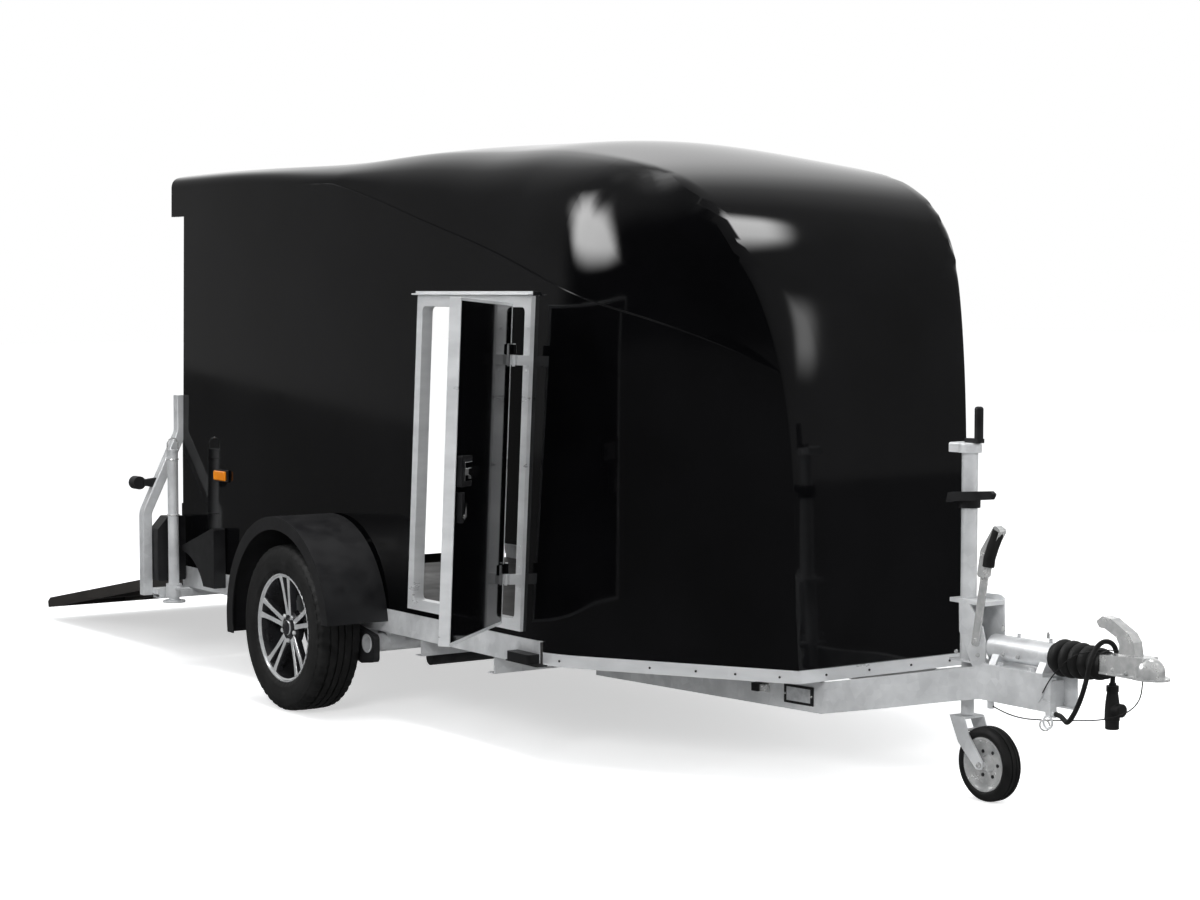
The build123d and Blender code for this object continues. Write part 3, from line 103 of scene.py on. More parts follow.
def surface(name, dark, light, rough=(0.4, 0.6), metal=0.0, scale=6.0, detail=6.0, bump=0.1,
            bump_scale=60.0, stretch=(1, 1, 1), pattern="noise", ior=1.5, distance=0.001,
            coat=0.0, stops=(0.35, 0.65)):
    """Material whose colour, roughness and bump vary over the surface."""
    material, tree, principled = shader(name)
    place = node(tree, "ShaderNodeTexCoord").outputs["Object"]
    mapping = node(tree, "ShaderNodeMapping")
    mapping.inputs["Scale"].default_value = stretch
    tree.links.new(place, mapping.inputs["Vector"])
    if pattern == "spangle":
        cells = node(tree, "ShaderNodeTexVoronoi", Scale=scale * 4)
        tree.links.new(mapping.outputs[0], cells.inputs["Vector"])
        broad = cells.outputs["Color"]
        to_value = node(tree, "ShaderNodeRGBToBW")
        tree.links.new(broad, to_value.inputs[0])
        broad = to_value.outputs[0]
        soft = node(tree, "ShaderNodeTexNoise", Scale=scale, Detail=detail)
        tree.links.new(mapping.outputs[0], soft.inputs["Vector"])
        mix = node(tree, "ShaderNodeMath", operation="ADD")
        half = node(tree, "ShaderNodeMath", operation="MULTIPLY")
        half.inputs[1].default_value = 0.16
        tree.links.new(broad, half.inputs[0])
        tree.links.new(half.outputs[0], mix.inputs[0])
        tree.links.new(soft.outputs["Fac"], mix.inputs[1])
        less = node(tree, "ShaderNodeMath", operation="SUBTRACT")
        less.inputs[1].default_value = 0.08
        tree.links.new(mix.outputs[0], less.inputs[0])
        value = less.outputs[0]
    else:
        noise = node(tree, "ShaderNodeTexNoise", Scale=scale, Detail=detail, Roughness=0.55)
        tree.links.new(mapping.outputs[0], noise.inputs["Vector"])
        value = noise.outputs["Fac"]
    tree.links.new(ramp(tree, value, [(stops[0], dark), (stops[1], light)]),
                   principled.inputs["Base Color"])
    tree.links.new(ramp(tree, value, [(0.3, rough[0]), (0.7, rough[1])]),
                   principled.inputs["Roughness"])
    if bump:
        fine = node(tree, "ShaderNodeTexNoise", Scale=bump_scale, Detail=3.0)
        tree.links.new(mapping.outputs[0], fine.inputs["Vector"])
        height = node(tree, "ShaderNodeBump", Strength=bump, Distance=distance)
        tree.links.new(fine.outputs["Fac"], height.inputs["Height"])
        tree.links.new(height.outputs[0], principled.inputs["Normal"])
    principled.inputs["Metallic"].default_value = metal
    principled.inputs["IOR"].default_value = ior
    principled.inputs["Coat Weight"].default_value = coat
    materials[name] = material
    return material


surface("gloss_black", (0.0012, 0.0012, 0.0014), (0.0026, 0.0026, 0.003), rough=(0.045, 0.08),
        scale=2.2, bump=0.015, bump_scale=35, distance=0.0005, ior=1.36)
surface("galvanised", (0.60, 0.61, 0.62), (0.78, 0.79, 0.80), rough=(0.34, 0.5), metal=0.42,
        scale=9, pattern="spangle", bump=0.06, bump_scale=140)
surface("aluminium", (0.70, 0.71, 0.72), (0.84, 0.85, 0.86), rough=(0.26, 0.4), metal=0.45,
        scale=14, stretch=(0.3, 0.3, 1), bump=0.04, bump_scale=220)
surface("zinc", (0.60, 0.61, 0.61), (0.84, 0.84, 0.83), rough=(0.16, 0.3), metal=0.62, scale=30,
        bump=0.08, bump_scale=90)
surface("black_plastic", (0.005, 0.005, 0.006), (0.011, 0.011, 0.012), rough=(0.42, 0.6),
        scale=18, bump=0.25, bump_scale=700, distance=0.0004)
surface("black_rubber", (0.004, 0.004, 0.004), (0.010, 0.010, 0.010), rough=(0.5, 0.72),
        scale=25, bump=0.2, bump_scale=400, distance=0.0004)
surface("tyre", (0.004, 0.004, 0.004), (0.010, 0.010, 0.010), rough=(0.6, 0.8), scale=22,
        bump=0.25, bump_scale=350, distance=0.0005)
surface("black_steel", (0.010, 0.010, 0.011), (0.024, 0.024, 0.025), rough=(0.3, 0.5), scale=20,
        bump=0.1, bump_scale=200)
surface("ply", (0.012, 0.010, 0.009), (0.035, 0.030, 0.026), rough=(0.4, 0.65), scale=5,
        bump=0.5, bump_scale=300, distance=0.0006)
surface("chrome", (0.7, 0.7, 0.7), (0.85, 0.85, 0.85), rough=(0.05, 0.12), metal=1.0, scale=20,
        bump=0.0)
surface("red_lens", (0.25, 0.004, 0.004), (0.42, 0.01, 0.008), rough=(0.08, 0.16), scale=8,
        bump=0.3, bump_scale=120)
surface("alloy", (0.012, 0.012, 0.013), (0.02, 0.02, 0.022), rough=(0.12, 0.25), scale=10,
        bump=0.03, bump_scale=80)

surface("machined", (0.72, 0.73, 0.74), (0.86, 0.87, 0.88), rough=(0.14, 0.26), metal=0.6,
        scale=40, bump=0.04, bump_scale=300)
surface("amber_lens", (0.75, 0.22, 0.01), (0.9, 0.32, 0.02), rough=(0.08, 0.16), scale=8,
        bump=0.3, bump_scale=140)
surface("plate_grey", (0.42, 0.43, 0.44), (0.56, 0.57, 0.58), rough=(0.3, 0.42), metal=0.4,
        scale=60, bump=0.05, bump_scale=200)

by_slot = {
    "gloss_black_shell": "gloss_black", "galvanised_steel": "galvanised",
    "bare_aluminium": "aluminium", "floor_ply": "ply", "zinc_steel": "zinc",
    "black_plastic": "black_plastic", "black_rubber": "black_rubber",
    "black_steel": "black_steel", "chromed_rod": "chrome", "red_lens": "red_lens",
    "alloy_wheel": "alloy", "tyre_rubber": "tyre", "black_cable": "black_rubber",
}
for name, piece in nodes.items():
    piece.data.materials.clear()
    piece.data.materials.append(materials[by_slot[slot_of[name]]])

# ---------------------------------------------------------------- hull shell
# Figures of the hull in millimetres from the road under the axle. They are the CAD source's,
# but for the roof stations: two more at the back, and the others up to 20 mm off the source's.
# Each station is (x, tilt, crown z, shoulder y, shoulder z, brow y, brow z).
HALF, FOOT, SKIRT_FOOT, SILL_TOP, SILL_FRONT = 767.0, 290.0, 352.0, 387.0, 1330.0
REAR, OVERHANG_REAR, HEADER_FOOT = -1262.0, -1372.0, 1775.0
DOOR = (524.0, 1227.0, 406.0, 1465.0)
FAN_X, FAN_Z = 750.0, -600.0
STATIONS = [
    (-1800, 0, 1950, 660, 1944, 742, 1926), (-1380, 0, 1950, 660, 1944, 742, 1926),
    (-1150, 0, 1954, 658, 1946, 740, 1926), (-900, 0, 1956, 655, 1946, 738, 1925),
    (-450, 0, 1956, 640, 1940, 731, 1911), (-80, 0, 1970, 600, 1939, 722, 1899),
    (350, 0, 1996, 545, 1955, 708, 1893), (750, 0, 1992, 500, 1944, 690, 1876),
    (750, 8, 1970, 474, 1928, 680, 1853), (750, 16, 1898, 478, 1877, 645, 1768),
    (750, 22.3, 1796, 476, 1784, 575, 1642), (750, 26.6, 1660, 450, 1647, 505, 1518),
    (750, 30, 1500, 422, 1495, 600, 1030), (750, 34.3, 1271, 430, 1269, 600, 865),
    (750, 39.3, 1001, 430, 999, 600, 667), (750, 44.5, 743, 430, 741, 600, 465),
    (750, 50, 512, 430, 510, 600, 283), (750, 56, 300, 430, 298, 600, 117)]
BELT = [(-1500, 1952), (-780, 1928), (-310, 1893), (0, 1845), (500, 1723), (980, 1602),
        (1270, 1514), (1500, 1444), (1720, 1372), (1900, 1300), (2250, 1120)]


def spline(places, rows):
    """A natural cubic spline through rows of numbers at increasing places."""
    places, rows = np.array(places, float), np.array(rows, float)
    if rows.ndim == 1:
        rows = rows[:, None]
    count = len(places)
    step = np.diff(places)
    matrix, right = np.eye(count), np.zeros((count, rows.shape[1]))
    for k in range(1, count - 1):
        matrix[k, k - 1:k + 2] = step[k - 1], 2 * (step[k - 1] + step[k]), step[k]
        right[k] = 6 * ((rows[k + 1] - rows[k]) / step[k] - (rows[k] - rows[k - 1]) / step[k - 1])
    curve = np.linalg.solve(matrix, right)

    def at(place):
        k = int(np.clip(np.searchsorted(places, place) - 1, 0, count - 2))
        a, b = (places[k + 1] - place) / step[k], (place - places[k]) / step[k]
        bend = ((a ** 3 - a) * curve[k] + (b ** 3 - b) * curve[k + 1]) * step[k] ** 2 / 6
        return a * rows[k] + b * rows[k + 1] + bend

    return at


def smooth(low, high, value):
    share = min(max((value - low) / (high - low), 0.0), 1.0)
    return share * share * (3 - 2 * share)


def along_slope(row):
    """A station as (x, tilt, crown, shoulder y, shoulder, brow y, brow) in its own plane."""
    x, tilt, crown, shoulder_y, shoulder, brow_y, brow = row
    lean = math.cos(math.radians(tilt))
    return (x, tilt, (crown - FAN_Z) / lean, shoulder_y, (shoulder - FAN_Z) / lean, brow_y,
            (brow - FAN_Z) / lean)


station_rows = [along_slope(row) for row in STATIONS]
station_places = [0.0]
for before, after in zip(station_rows, station_rows[1:]):
    points = [(r[0] + r[2] * math.sin(math.radians(r[1])), r[2] * math.cos(math.radians(r[1])))
              for r in (before, after)]
    station_places.append(station_places[-1] + math.dist(*points))
station_at = spline(station_places, station_rows)
belt_at = spline([x for x, _ in BELT], [z for _, z in BELT])


def wall_half(x, z, inset):
    """Half width of the walls in plan at a height, with the rounded bend into the nose."""
    rise = z - FOOT
    rear_half, front_half = HALF - 0.013 * rise - inset, HALF - 0.051 * rise - inset
    slope = (HALF - 340) / (2078 - 1363)
    tip_half = 340 - inset * math.hypot(1, slope)
    bend = 2078 - (front_half - tip_half) / slope
    first = math.atan2(rear_half - front_half, bend - OVERHANG_REAR)
    second = math.atan(slope)
    reach = 480 * math.tan((second - first) / 2)
    start = bend - reach * math.cos(first)
    if x <= start:
        return rear_half - (x - OVERHANG_REAR) * math.tan(first)
    if x >= bend + reach * math.cos(second):
        return front_half - slope * (x - bend)
    centre_x = start - 480 * math.sin(first)
    centre_y = rear_half - (start - OVERHANG_REAR) * math.tan(first) - 480 * math.cos(first)
    return centre_y + math.sqrt(480 ** 2 - (x - centre_x) ** 2)


def roof_point(place, y, inset):
    """The roof and front surface at a place along the sweep and a distance from the middle."""
    x, tilt, crown, shoulder_y, shoulder, brow_y, brow = station_at(place)
    if place < station_places[7]:
        x, tilt = FAN_X - (station_places[7] - place), 0.0
    fall = (shoulder - brow) / (brow_y - shoulder_y)
    rise = max(crown - shoulder, 0.5)
    bow = (shoulder_y ** 2 + rise ** 2) / (2 * rise)
    arc = crown - inset - (bow - math.sqrt(bow ** 2 - y * y))
    line = shoulder - inset * math.hypot(1, fall) - fall * (y - shoulder_y)
    soft = 7.0 + 26.0 * smooth(14, 30, tilt)
    blend = max(soft - abs(arc - line), 0) / soft
    up = min(arc, line) - blend * blend * soft / 4
    lean = math.radians(tilt)
    return x + up * math.sin(lean), FAN_Z + up * math.cos(lean)


def recess_at(x, z):
    """How far the wall above the belt line is set in where the wall meets the roof."""
    belt = belt_at(x)[0]
    return 9.0 * smooth(10, 60, z - belt) * (1 - smooth(1500, 2070, x))


def corner(place, inset, recessed):
    """Where the wall meets the roof, as (x, y, z, how far the upper wall is set in)."""
    low, high = 200.0, 800.0
    for _ in range(40):
        y = (low + high) / 2
        x, z = roof_point(place, y, inset)
        inward = recess_at(x, z) if recessed else 0.0
        if y < wall_half(x, z, inset) - inward:
            low = y
        else:
            high = y
    return x, y, z, inward


def place_of(x_wanted):
    low, high = station_places[1] - 60, station_places[-1]
    for _ in range(40):
        middle = (low + high) / 2
        if corner(middle, 0, True)[0] < x_wanted:
            low = middle
        else:
            high = middle
    return (low + high) / 2


def foot_place():
    low, high = station_places[-4], station_places[-1]
    for _ in range(40):
        middle = (low + high) / 2
        if corner(middle, 0, True)[2] > SKIRT_FOOT + 1:
            low = middle
        else:
            high = middle
    return low


marks = [place_of(x) for x in (OVERHANG_REAR, REAR, DOOR[0], DOOR[1], SILL_FRONT, SILL_FRONT + 2)]
marks.append(foot_place())
columns = []
for first, last, count in zip(marks, marks[1:], (4, 44, 24, 5, 1, 72)):
    columns += [first + (last - first) * k / count for k in range(count)]
columns.append(marks[-1])
DOOR_ROWS, UP_ROWS, HEADER_ROW = 24, 12, 7
ROUND_ROWS, ROOF_ROWS = 12, 22


def section(place, inset, recessed):
    """One side of the shell's section, from the foot of the wall to the middle of the roof."""
    x, y, z, inward = corner(place, inset, recessed)
    outer_x = corner(place, 0, True)[0]
    wall_x = outer_x + (x - outer_x) * smooth(1330, 1530, outer_x)
    row = station_at(place)
    broad = smooth(-700, 300, x) * (1 - smooth(16, 26, row[1]) * (x > 1000))
    nose = smooth(16, 26, row[1]) if x > 1000 else 0.0
    wide_down = min(max(z - belt_at(wall_x)[0] - 14, 36), 260)
    wide_in = max(y - row[3] - 4, 36)
    down = 36 + (wide_down - 36) * broad - 12 * nose
    inwards = 36 + (wide_in - 36) * broad + 110 * nose * smooth(27, 33, row[1])
    if y > row[3]:
        inwards = max(min(inwards, y - row[3] - 4), 4)
    if inset:
        down, inwards = max(down - 12, 16), max(inwards - 12, 16)
    foot = SKIRT_FOOT if wall_x > SILL_FRONT + 1 else SILL_TOP
    top = max(z - down, foot + 0.5)
    belt = min(belt_at(wall_x)[0], top - 4)
    belt = max(belt, foot + (top - foot) * 0.6)
    # heights up the wall: doorway, then up to the belt line, the step, and up to the rounding
    if wall_x <= SILL_FRONT + 3:
        low_levels = [foot, DOOR[2]] + [DOOR[2] + (DOOR[3] - DOOR[2]) * k / DOOR_ROWS
                                        for k in range(1, DOOR_ROWS + 1)]
    else:
        share = [0.0, 0.017] + [0.017 + 0.983 * k / DOOR_ROWS for k in range(1, DOOR_ROWS + 1)]
        level = foot + (belt - foot) * 0.93
        low_levels = [foot + (level - foot) * k for k in share]
    start = low_levels[-1]
    if wall_x <= REAR + 1:
        levels = [start + (HEADER_FOOT - start) * k / HEADER_ROW for k in range(1, HEADER_ROW + 1)]
        levels += [HEADER_FOOT + (belt - HEADER_FOOT) * k / (UP_ROWS - HEADER_ROW)
                   for k in range(1, UP_ROWS - HEADER_ROW + 1)]
    else:
        levels = [start + (belt - start) * k / UP_ROWS for k in range(1, UP_ROWS + 1)]
    rows = [(wall_x, wall_half(wall_x, level, inset), level) for level in low_levels + levels]
    lip = (0.0, 0.12, 0.5, 0.88, 1.0) if inward > 0.01 else (0.0,) * 5
    for k, share in enumerate(lip):
        level = belt + 0.6 * (k + 1)
        rows.append((wall_x, wall_half(wall_x, level, inset) - inward * share, level))
    level = belt + 3.0
    for k in range(1, 9):
        height = level + (top - level) * k / 8
        rows.append((wall_x, wall_half(wall_x, height, inset) - inward, height))
    start_point, turn = np.array(rows[-1]), np.array((x, y, z))
    inner_y = max(y - inwards, 0)
    roof = roof_point(place, inner_y, inset)
    end_point = np.array((roof[0], inner_y, roof[1]))
    for k in range(1, ROUND_ROWS + 1):
        s = k / ROUND_ROWS
        rows.append(tuple((1 - s) ** 2 * start_point + 2 * s * (1 - s) * turn + s * s * end_point))
    for k in range(1, ROOF_ROWS + 1):
        across = inner_y * (1 - k / ROOF_ROWS)
        roof = roof_point(place, across, inset)
        rows.append((roof[0], across, roof[1]))
    return rows


outer_grid = [section(place, 0, True) for place in columns]
inner_grid = [section(place, 20, False) for place in columns]
row_count = len(outer_grid[0])
rear_column = next(k for k, place in enumerate(columns) if place >= marks[1] - 1e-6)
door_columns = [k for k, place in enumerate(columns) if marks[2] - 1e-6 <= place < marks[3] - 1e-6]
shell_verts, shell_faces = [], []


def shell_index(column, row, side, layer):
    """Vertices run column by column; the middle of the roof is shared by both sides."""
    if row == row_count - 1:
        side = -1
    return shell_lookup[(column, row, side, layer)]


shell_lookup = {}
for layer, grid in enumerate((outer_grid, inner_grid)):
    for i, rows in enumerate(grid):
        for side in (-1, 1):
            for j, (x, y, z) in enumerate(rows):
                if side == 1 and j == row_count - 1:
                    continue
                shell_lookup[(i, j, side, layer)] = len(shell_verts)
                shell_verts.append(P(x, side * y, z))
for side in (-1, 1):
    for i in range(len(columns) - 1):
        for j in range(row_count - 1):
            if i < rear_column and j < 1 + DOOR_ROWS + HEADER_ROW:
                continue
            if side == -1 and i in door_columns and 1 <= j < 1 + DOOR_ROWS:
                continue
            for layer in (0, 1):
                face = [shell_index(i, j, side, layer), shell_index(i + 1, j, side, layer),
                        shell_index(i + 1, j + 1, side, layer), shell_index(i, j + 1, side, layer)]
                if (side == 1) != (layer == 1):
                    face.reverse()
                shell_faces.append(face)
# the cut edges between the outside and the inside
seen_edges = {}
for face in shell_faces:
    for a, b in zip(face, face[1:] + face[:1]):
        key = (min(a, b), max(a, b))
        seen_edges.setdefault(key, []).append((a, b))
other_layer = {}
for (i, j, side, layer), index in shell_lookup.items():
    other_layer[index] = (shell_lookup[(i, j, side, 1 - layer)], layer)
for uses in seen_edges.values():
    if len(uses) == 1:
        a, b = uses[0]
        if other_layer[a][1] == 0:
            shell_faces.append([b, a, other_layer[a][0], other_layer[b][0]])


def add_piece(name, build, data, tones, body, replaced, angle):
    """Write a bmesh, shaded smooth under an angle, as a piece that rides on a body."""
    limit = math.radians(angle)
    for edge in build.edges:
        edge.smooth = len(edge.link_faces) != 2 or edge.calc_face_angle(4) < limit
    for face in build.faces:
        face.smooth = True
    build.to_mesh(data)
    build.free()
    for tone in tones:
        data.materials.append(materials[tone])
    piece = bpy.data.objects.new(name, data)
    bpy.context.scene.collection.objects.link(piece)
    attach(piece, body)
    if replaced:
        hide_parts(*replaced)
    return piece


def mesh_piece(name, verts, faces, material, body, replaced=(), angle=35, weld=0.0002):
    """A piece made from vertices and faces, welded."""
    data = bpy.data.meshes.new(name)
    data.from_pydata([tuple(v) for v in verts], [], faces)
    build = bmesh.new()
    build.from_mesh(data)
    bmesh.ops.remove_doubles(build, verts=build.verts, dist=weld)
    bmesh.ops.dissolve_degenerate(build, edges=build.edges, dist=1e-6)
    return add_piece(name, build, data, [material], body, replaced, angle)


mesh_piece("hull_shell", shell_verts, shell_faces, "gloss_black", "trailer",
           ("hull_nose", "hull_roof", "hull_side_right", "hull_side_left"), angle=28)

# ---------------------------------------------------------------- making of shapes
class Shape:
    """A mesh under construction, in millimetres from the road under the axle."""

    def __init__(self):
        self.build = bmesh.new()

    def hull(self, points, tone=0):
        """The convex body round points."""
        made = [self.build.verts.new(P(*point)) for point in points]
        before = set(self.build.faces)
        bmesh.ops.convex_hull(self.build, input=made)
        for face in set(self.build.faces) - before:
            face.material_index = tone
        loose = [v for v in self.build.verts if not v.link_faces]
        bmesh.ops.delete(self.build, geom=loose, context="VERTS")

    def block(self, low, high, chamfer=1.0, place=None, tone=0):
        """A block with chamfered edges, between two corners, in a placing function."""
        place = place or (lambda u, v, w: (u, v, w))
        points = []
        for ends in ((a, b, c) for a in (0, 1) for b in (0, 1) for c in (0, 1)):
            base = [(low, high)[end][k] for k, end in enumerate(ends)]
            for axis in range(3):
                moved = [value + (chamfer if k != axis else 0) * (1 if ends[k] == 0 else -1)
                         for k, value in enumerate(base)]
                points.append(place(*moved))
        self.hull(points, tone)

    def lathe(self, profile, centre, axis, count=32, tones=None, ripple=None):
        """A closed profile of (along, radius) turned about an axis."""
        centre, axis = np.array(centre, float), np.array(axis, float)
        axis /= np.linalg.norm(axis)
        first = np.cross(axis, (0, 0, 1) if abs(axis[2]) < 0.9 else (1, 0, 0))
        first /= np.linalg.norm(first)
        second = np.cross(axis, first)
        rings = []
        for k in range(count):
            angle = 2 * math.pi * k / count
            out = math.cos(angle) * first + math.sin(angle) * second
            ring = []
            for j, (along, radius) in enumerate(profile):
                if ripple:
                    radius = radius + ripple(k, j, along)
                ring.append(self.build.verts.new(P(*(centre + axis * along + out * radius))))
            rings.append(ring)
        size = len(profile)
        for k in range(count):
            for j in range(size):
                a, b = rings[k][j], rings[k][(j + 1) % size]
                c, d = rings[(k + 1) % count][(j + 1) % size], rings[(k + 1) % count][j]
                face = self.build.faces.new((a, b, c, d))
                face.material_index = tones[j] if tones else 0

    def rod(self, start, end, radius, count=16, tone=0, chamfer=None):
        """A round bar with chamfered ends."""
        start, end = np.array(start, float), np.array(end, float)
        axis = end - start
        length = float(np.linalg.norm(axis))
        cut = min(radius * 0.2 if chamfer is None else chamfer, length / 3)
        tip = 0.01
        profile = [(0, tip), (0, radius - cut), (cut, radius), (length - cut, radius),
                   (length, radius - cut), (length, tip)]
        self.lathe(profile, start, axis, count, [tone] * len(profile))

    def bolt(self, place, way, size=6.0, tone=0):
        """A washer, a hexagon head and its stud end."""
        place, way = np.array(place, float), np.array(way, float)
        way /= np.linalg.norm(way)
        self.rod(place, place + way * 1.6, size * 1.1, 16, tone)
        self.rod(place + way * 1.6, place + way * (1.6 + size * 0.7), size * 0.95, 6, tone,
                 chamfer=size * 0.12)
        self.rod(place + way * (1.6 + size * 0.7), place + way * (2.6 + size), size * 0.5, 12, tone)

    def tube(self, points, radius, count=10, tone=0):
        """A round bar bent through points."""
        points = [np.array(point, float) for point in points]
        rings = []
        side = None
        for k, point in enumerate(points):
            way = points[min(k + 1, len(points) - 1)] - points[max(k - 1, 0)]
            way /= np.linalg.norm(way)
            if side is None:
                side = np.cross(way, (0, 0, 1) if abs(way[2]) < 0.9 else (1, 0, 0))
            side = side - way * float(side @ way)
            side /= np.linalg.norm(side)
            other = np.cross(way, side)
            rings.append([self.build.verts.new(P(*(point + radius * (
                math.cos(2 * math.pi * j / count) * side
                + math.sin(2 * math.pi * j / count) * other)))) for j in range(count)])
        for one, two in zip(rings, rings[1:]):
            for j in range(count):
                face = self.build.faces.new((one[j], one[(j + 1) % count],
                                             two[(j + 1) % count], two[j]))
                face.material_index = tone
        for ring in (rings[0][::-1], rings[-1]):
            self.build.faces.new(ring).material_index = tone

    def done(self, name, tones, body, replaced=(), angle=32):
        """Weld what was made and write it as a piece with its materials."""
        bmesh.ops.remove_doubles(self.build, verts=self.build.verts, dist=2e-5)
        bmesh.ops.recalc_face_normals(self.build, faces=self.build.faces)
        data = bpy.data.meshes.new(name)
        return add_piece(name, self.build, data, tones, body, replaced, angle)


def circle_points(centre, radius, count, first, second, turn=0.0):
    centre, first, second = (np.array(v, float) for v in (centre, first, second))
    return [centre + radius * (math.cos(turn + 2 * math.pi * k / count) * first
                               + math.sin(turn + 2 * math.pi * k / count) * second)
            for k in range(count)]


# ---------------------------------------------------------------- road wheels
TREAD = [(-70, 192.6), (-76, 197), (-81, 206), (-83, 208), (-83.4, 212), (-86.5, 226), (-88, 240),
         (-87.5, 246), (-88, 249), (-86.6, 262), (-82.5, 275), (-80.5, 277), (-76, 286),
         (-70, 290.5), (-60, 292.2), (-47, 293.6), (-45.5, 293), (-44.5, 286.6), (-39.5, 286.6),
         (-38.5, 293.4), (-28, 294.2), (-17, 294.4), (-15.8, 293.6), (-15, 286.6), (-10, 286.6),
         (-9, 294.0), (0, 294.4)]
TREAD = TREAD + [(-along, radius) for along, radius in reversed(TREAD[:-1])]
TREAD = TREAD + [(70, 188), (-70, 188)]


def tread_ripple(k, j, along):
    """Sipes across the shoulders and shorter ones across the ribs."""
    wide = abs(along)
    if j >= len(TREAD) - 2 or wide > 81:
        return 0.0
    if wide > 46.5:
        return -5.0 if k % 3 == 0 else 0.0
    if 17 <= wide <= 38.6:
        return -3.2 if k % 4 == 1 else 0.0
    if wide < 9.5:
        return -2.2 if k % 5 == 2 else 0.0
    return 0.0


RIM = [(74, 192.4), (76, 190), (75.6, 186.5), (70, 184), (67, 179.5), (58, 176), (30, 169),
       (-58, 167), (-66, 178), (-73, 190), (-74, 192.4), (-68, 192.2), (-60, 181), (-50, 172),
       (28, 174), (56, 181), (64, 190)]
RIM_TONES = [1, 1, 1, 1, 0, 0, 0, 0, 0, 0, 0, 0, 0, 0, 0, 0, 0]

HALF_TRACK, WHEEL_HEIGHT = 900, 294.5
SPOKES = 5

for side, word in ((-1, "right"), (1, "left")):
    middle = (0, side * HALF_TRACK, WHEEL_HEIGHT)
    out = (0, side, 0)
    tyre = Shape()
    tyre.lathe(TREAD, middle, out, 150, None, tread_ripple)
    tyre.done(f"road_tyre_{word}", ["tyre"], f"wheel_{word}", (f"tyre_{word}",),
              angle=40)
    rim = Shape()
    rim.lathe(RIM, middle, out, 80, RIM_TONES)
    # hub disc with its raised seat for the cap
    hub = [(22, 0.1), (22, 62), (44, 62), (50, 56), (52, 34), (58, 32), (58, 0.1)]
    rim.lathe(hub, middle, out, 48, [0] * len(hub))
    cap = [(58, 0.1), (58, 27), (62, 26), (65, 22), (66.5, 10), (67, 0.1)]
    rim.lathe(cap, middle, out, 40, [1, 1, 0, 0, 0, 0])
    for k in range(SPOKES):
        base = math.radians(90 + 360 / SPOKES * k)
        for lean in (-1, 1):
            # two splayed legs a spoke: places out along the leg as (radius, turn, half width, face)
            rows = [(44, 0.19, 9.5, 52), (76, 0.165, 8.5, 55), (120, 0.15, 8.0, 60),
                    (160, 0.15, 9.0, 65), (180.5, 0.155, 12.0, 68)]
            loops = []
            for radius, turn, half_wide, face_at in rows:
                angle = base + lean * turn
                along = np.array((math.cos(angle), 0, math.sin(angle)))
                across = np.array((-math.sin(angle), 0, math.cos(angle)))
                centre = np.array(middle) + along * radius
                loop = []
                for wide, depth in ((-1.35, -24), (-1.3, -7), (-1.0, -1.2), (-0.82, 0),
                                    (0.82, 0), (1.0, -1.2), (1.3, -7), (1.35, -24)):
                    loop.append(tuple(centre + across * wide * half_wide
                                      + np.array(out) * (face_at + depth)))
                loops.append(loop)
            points = [point for loop in loops for point in loop]
            faces_face, faces_body = [], []
            for a in range(len(loops) - 1):
                for b in range(8):
                    quad = (8 * a + b, 8 * a + (b + 1) % 8, 8 * a + 8 + (b + 1) % 8, 8 * a + 8 + b)
                    (faces_face if b in (2, 3, 4) else faces_body).append(quad)
            faces_body += [tuple(range(8)), tuple(range(8 * len(loops) - 8, 8 * len(loops)))]
            made = [rim.build.verts.new(P(*point)) for point in points]
            for group, tone in ((faces_face, 1), (faces_body, 0)):
                for face in group:
                    rim.build.faces.new([made[v] for v in face]).material_index = tone
        # wheel bolt in the pocket between the spokes
        angle = base + math.radians(36)
        seat = np.array(middle) + 46 * np.array((math.cos(angle), 0, math.sin(angle)))
        rim.rod(seat + np.array(out) * 44, seat + np.array(out) * 57, 9, 6, 1)
    valve = np.array(middle) + 158 * np.array((math.cos(0.95), 0, math.sin(0.95)))
    rim.rod(valve + np.array(out) * 30, valve + np.array(out) * 62, 3.2, 12, 2)
    rim.done(f"road_rim_{word}", ["alloy", "machined", "black_rubber"], f"wheel_{word}",
             (f"rim_{word}",), angle=30)

# ---------------------------------------------------------------- jockey wheel
ROLLER_MIDDLE, FORK_FACE = (2540, 0, 110), 41
roller = Shape()
half_tread = [(0, 107.2), (5, 107.2), (5.6, 109.6), (11, 109.6), (11.6, 106.2), (15, 106.2), (15.6, 109),
        (20, 107.4), (25, 103), (29, 97), (30.6, 90), (29, 84), (25.5, 80.5)]
roller_profile = [(-along, radius) for along, radius in reversed(half_tread[1:])] + half_tread
roller_profile += [(25.5, 76), (-25.5, 76)]
roller.lathe(roller_profile, ROLLER_MIDDLE, (0, 1, 0), 72, [0] * len(roller_profile))
dish = [(25.8, 80.2), (27.6, 79), (27, 74), (22, 70), (9, 62), (6, 52), (6, 27), (14, 22), (24, 18),
        (25, 10), (25, 8.8), (-25, 8.8), (-25, 10), (-24, 18), (-14, 22), (-6, 27), (-6, 52),
        (-9, 62), (-22, 70), (-27, 74), (-27.6, 79), (-25.8, 80.2)]
roller.lathe(dish, ROLLER_MIDDLE, (0, 1, 0), 60, [1] * len(dish))
for side in (-1, 1):
    for k in range(6):
        angle = math.pi * k / 3
        seat = np.array((2540 + 40 * math.cos(angle), side * 6, 110 + 40 * math.sin(angle)))
        roller.rod(seat, seat + np.array((0, side * 2.4, 0)), 5.5, 14, 2)
roller.done("jockey_roller", ["black_rubber", "zinc", "black_steel"], "jockey_wheel",
            ("jockey_wheel",), angle=34)
fittings = Shape()
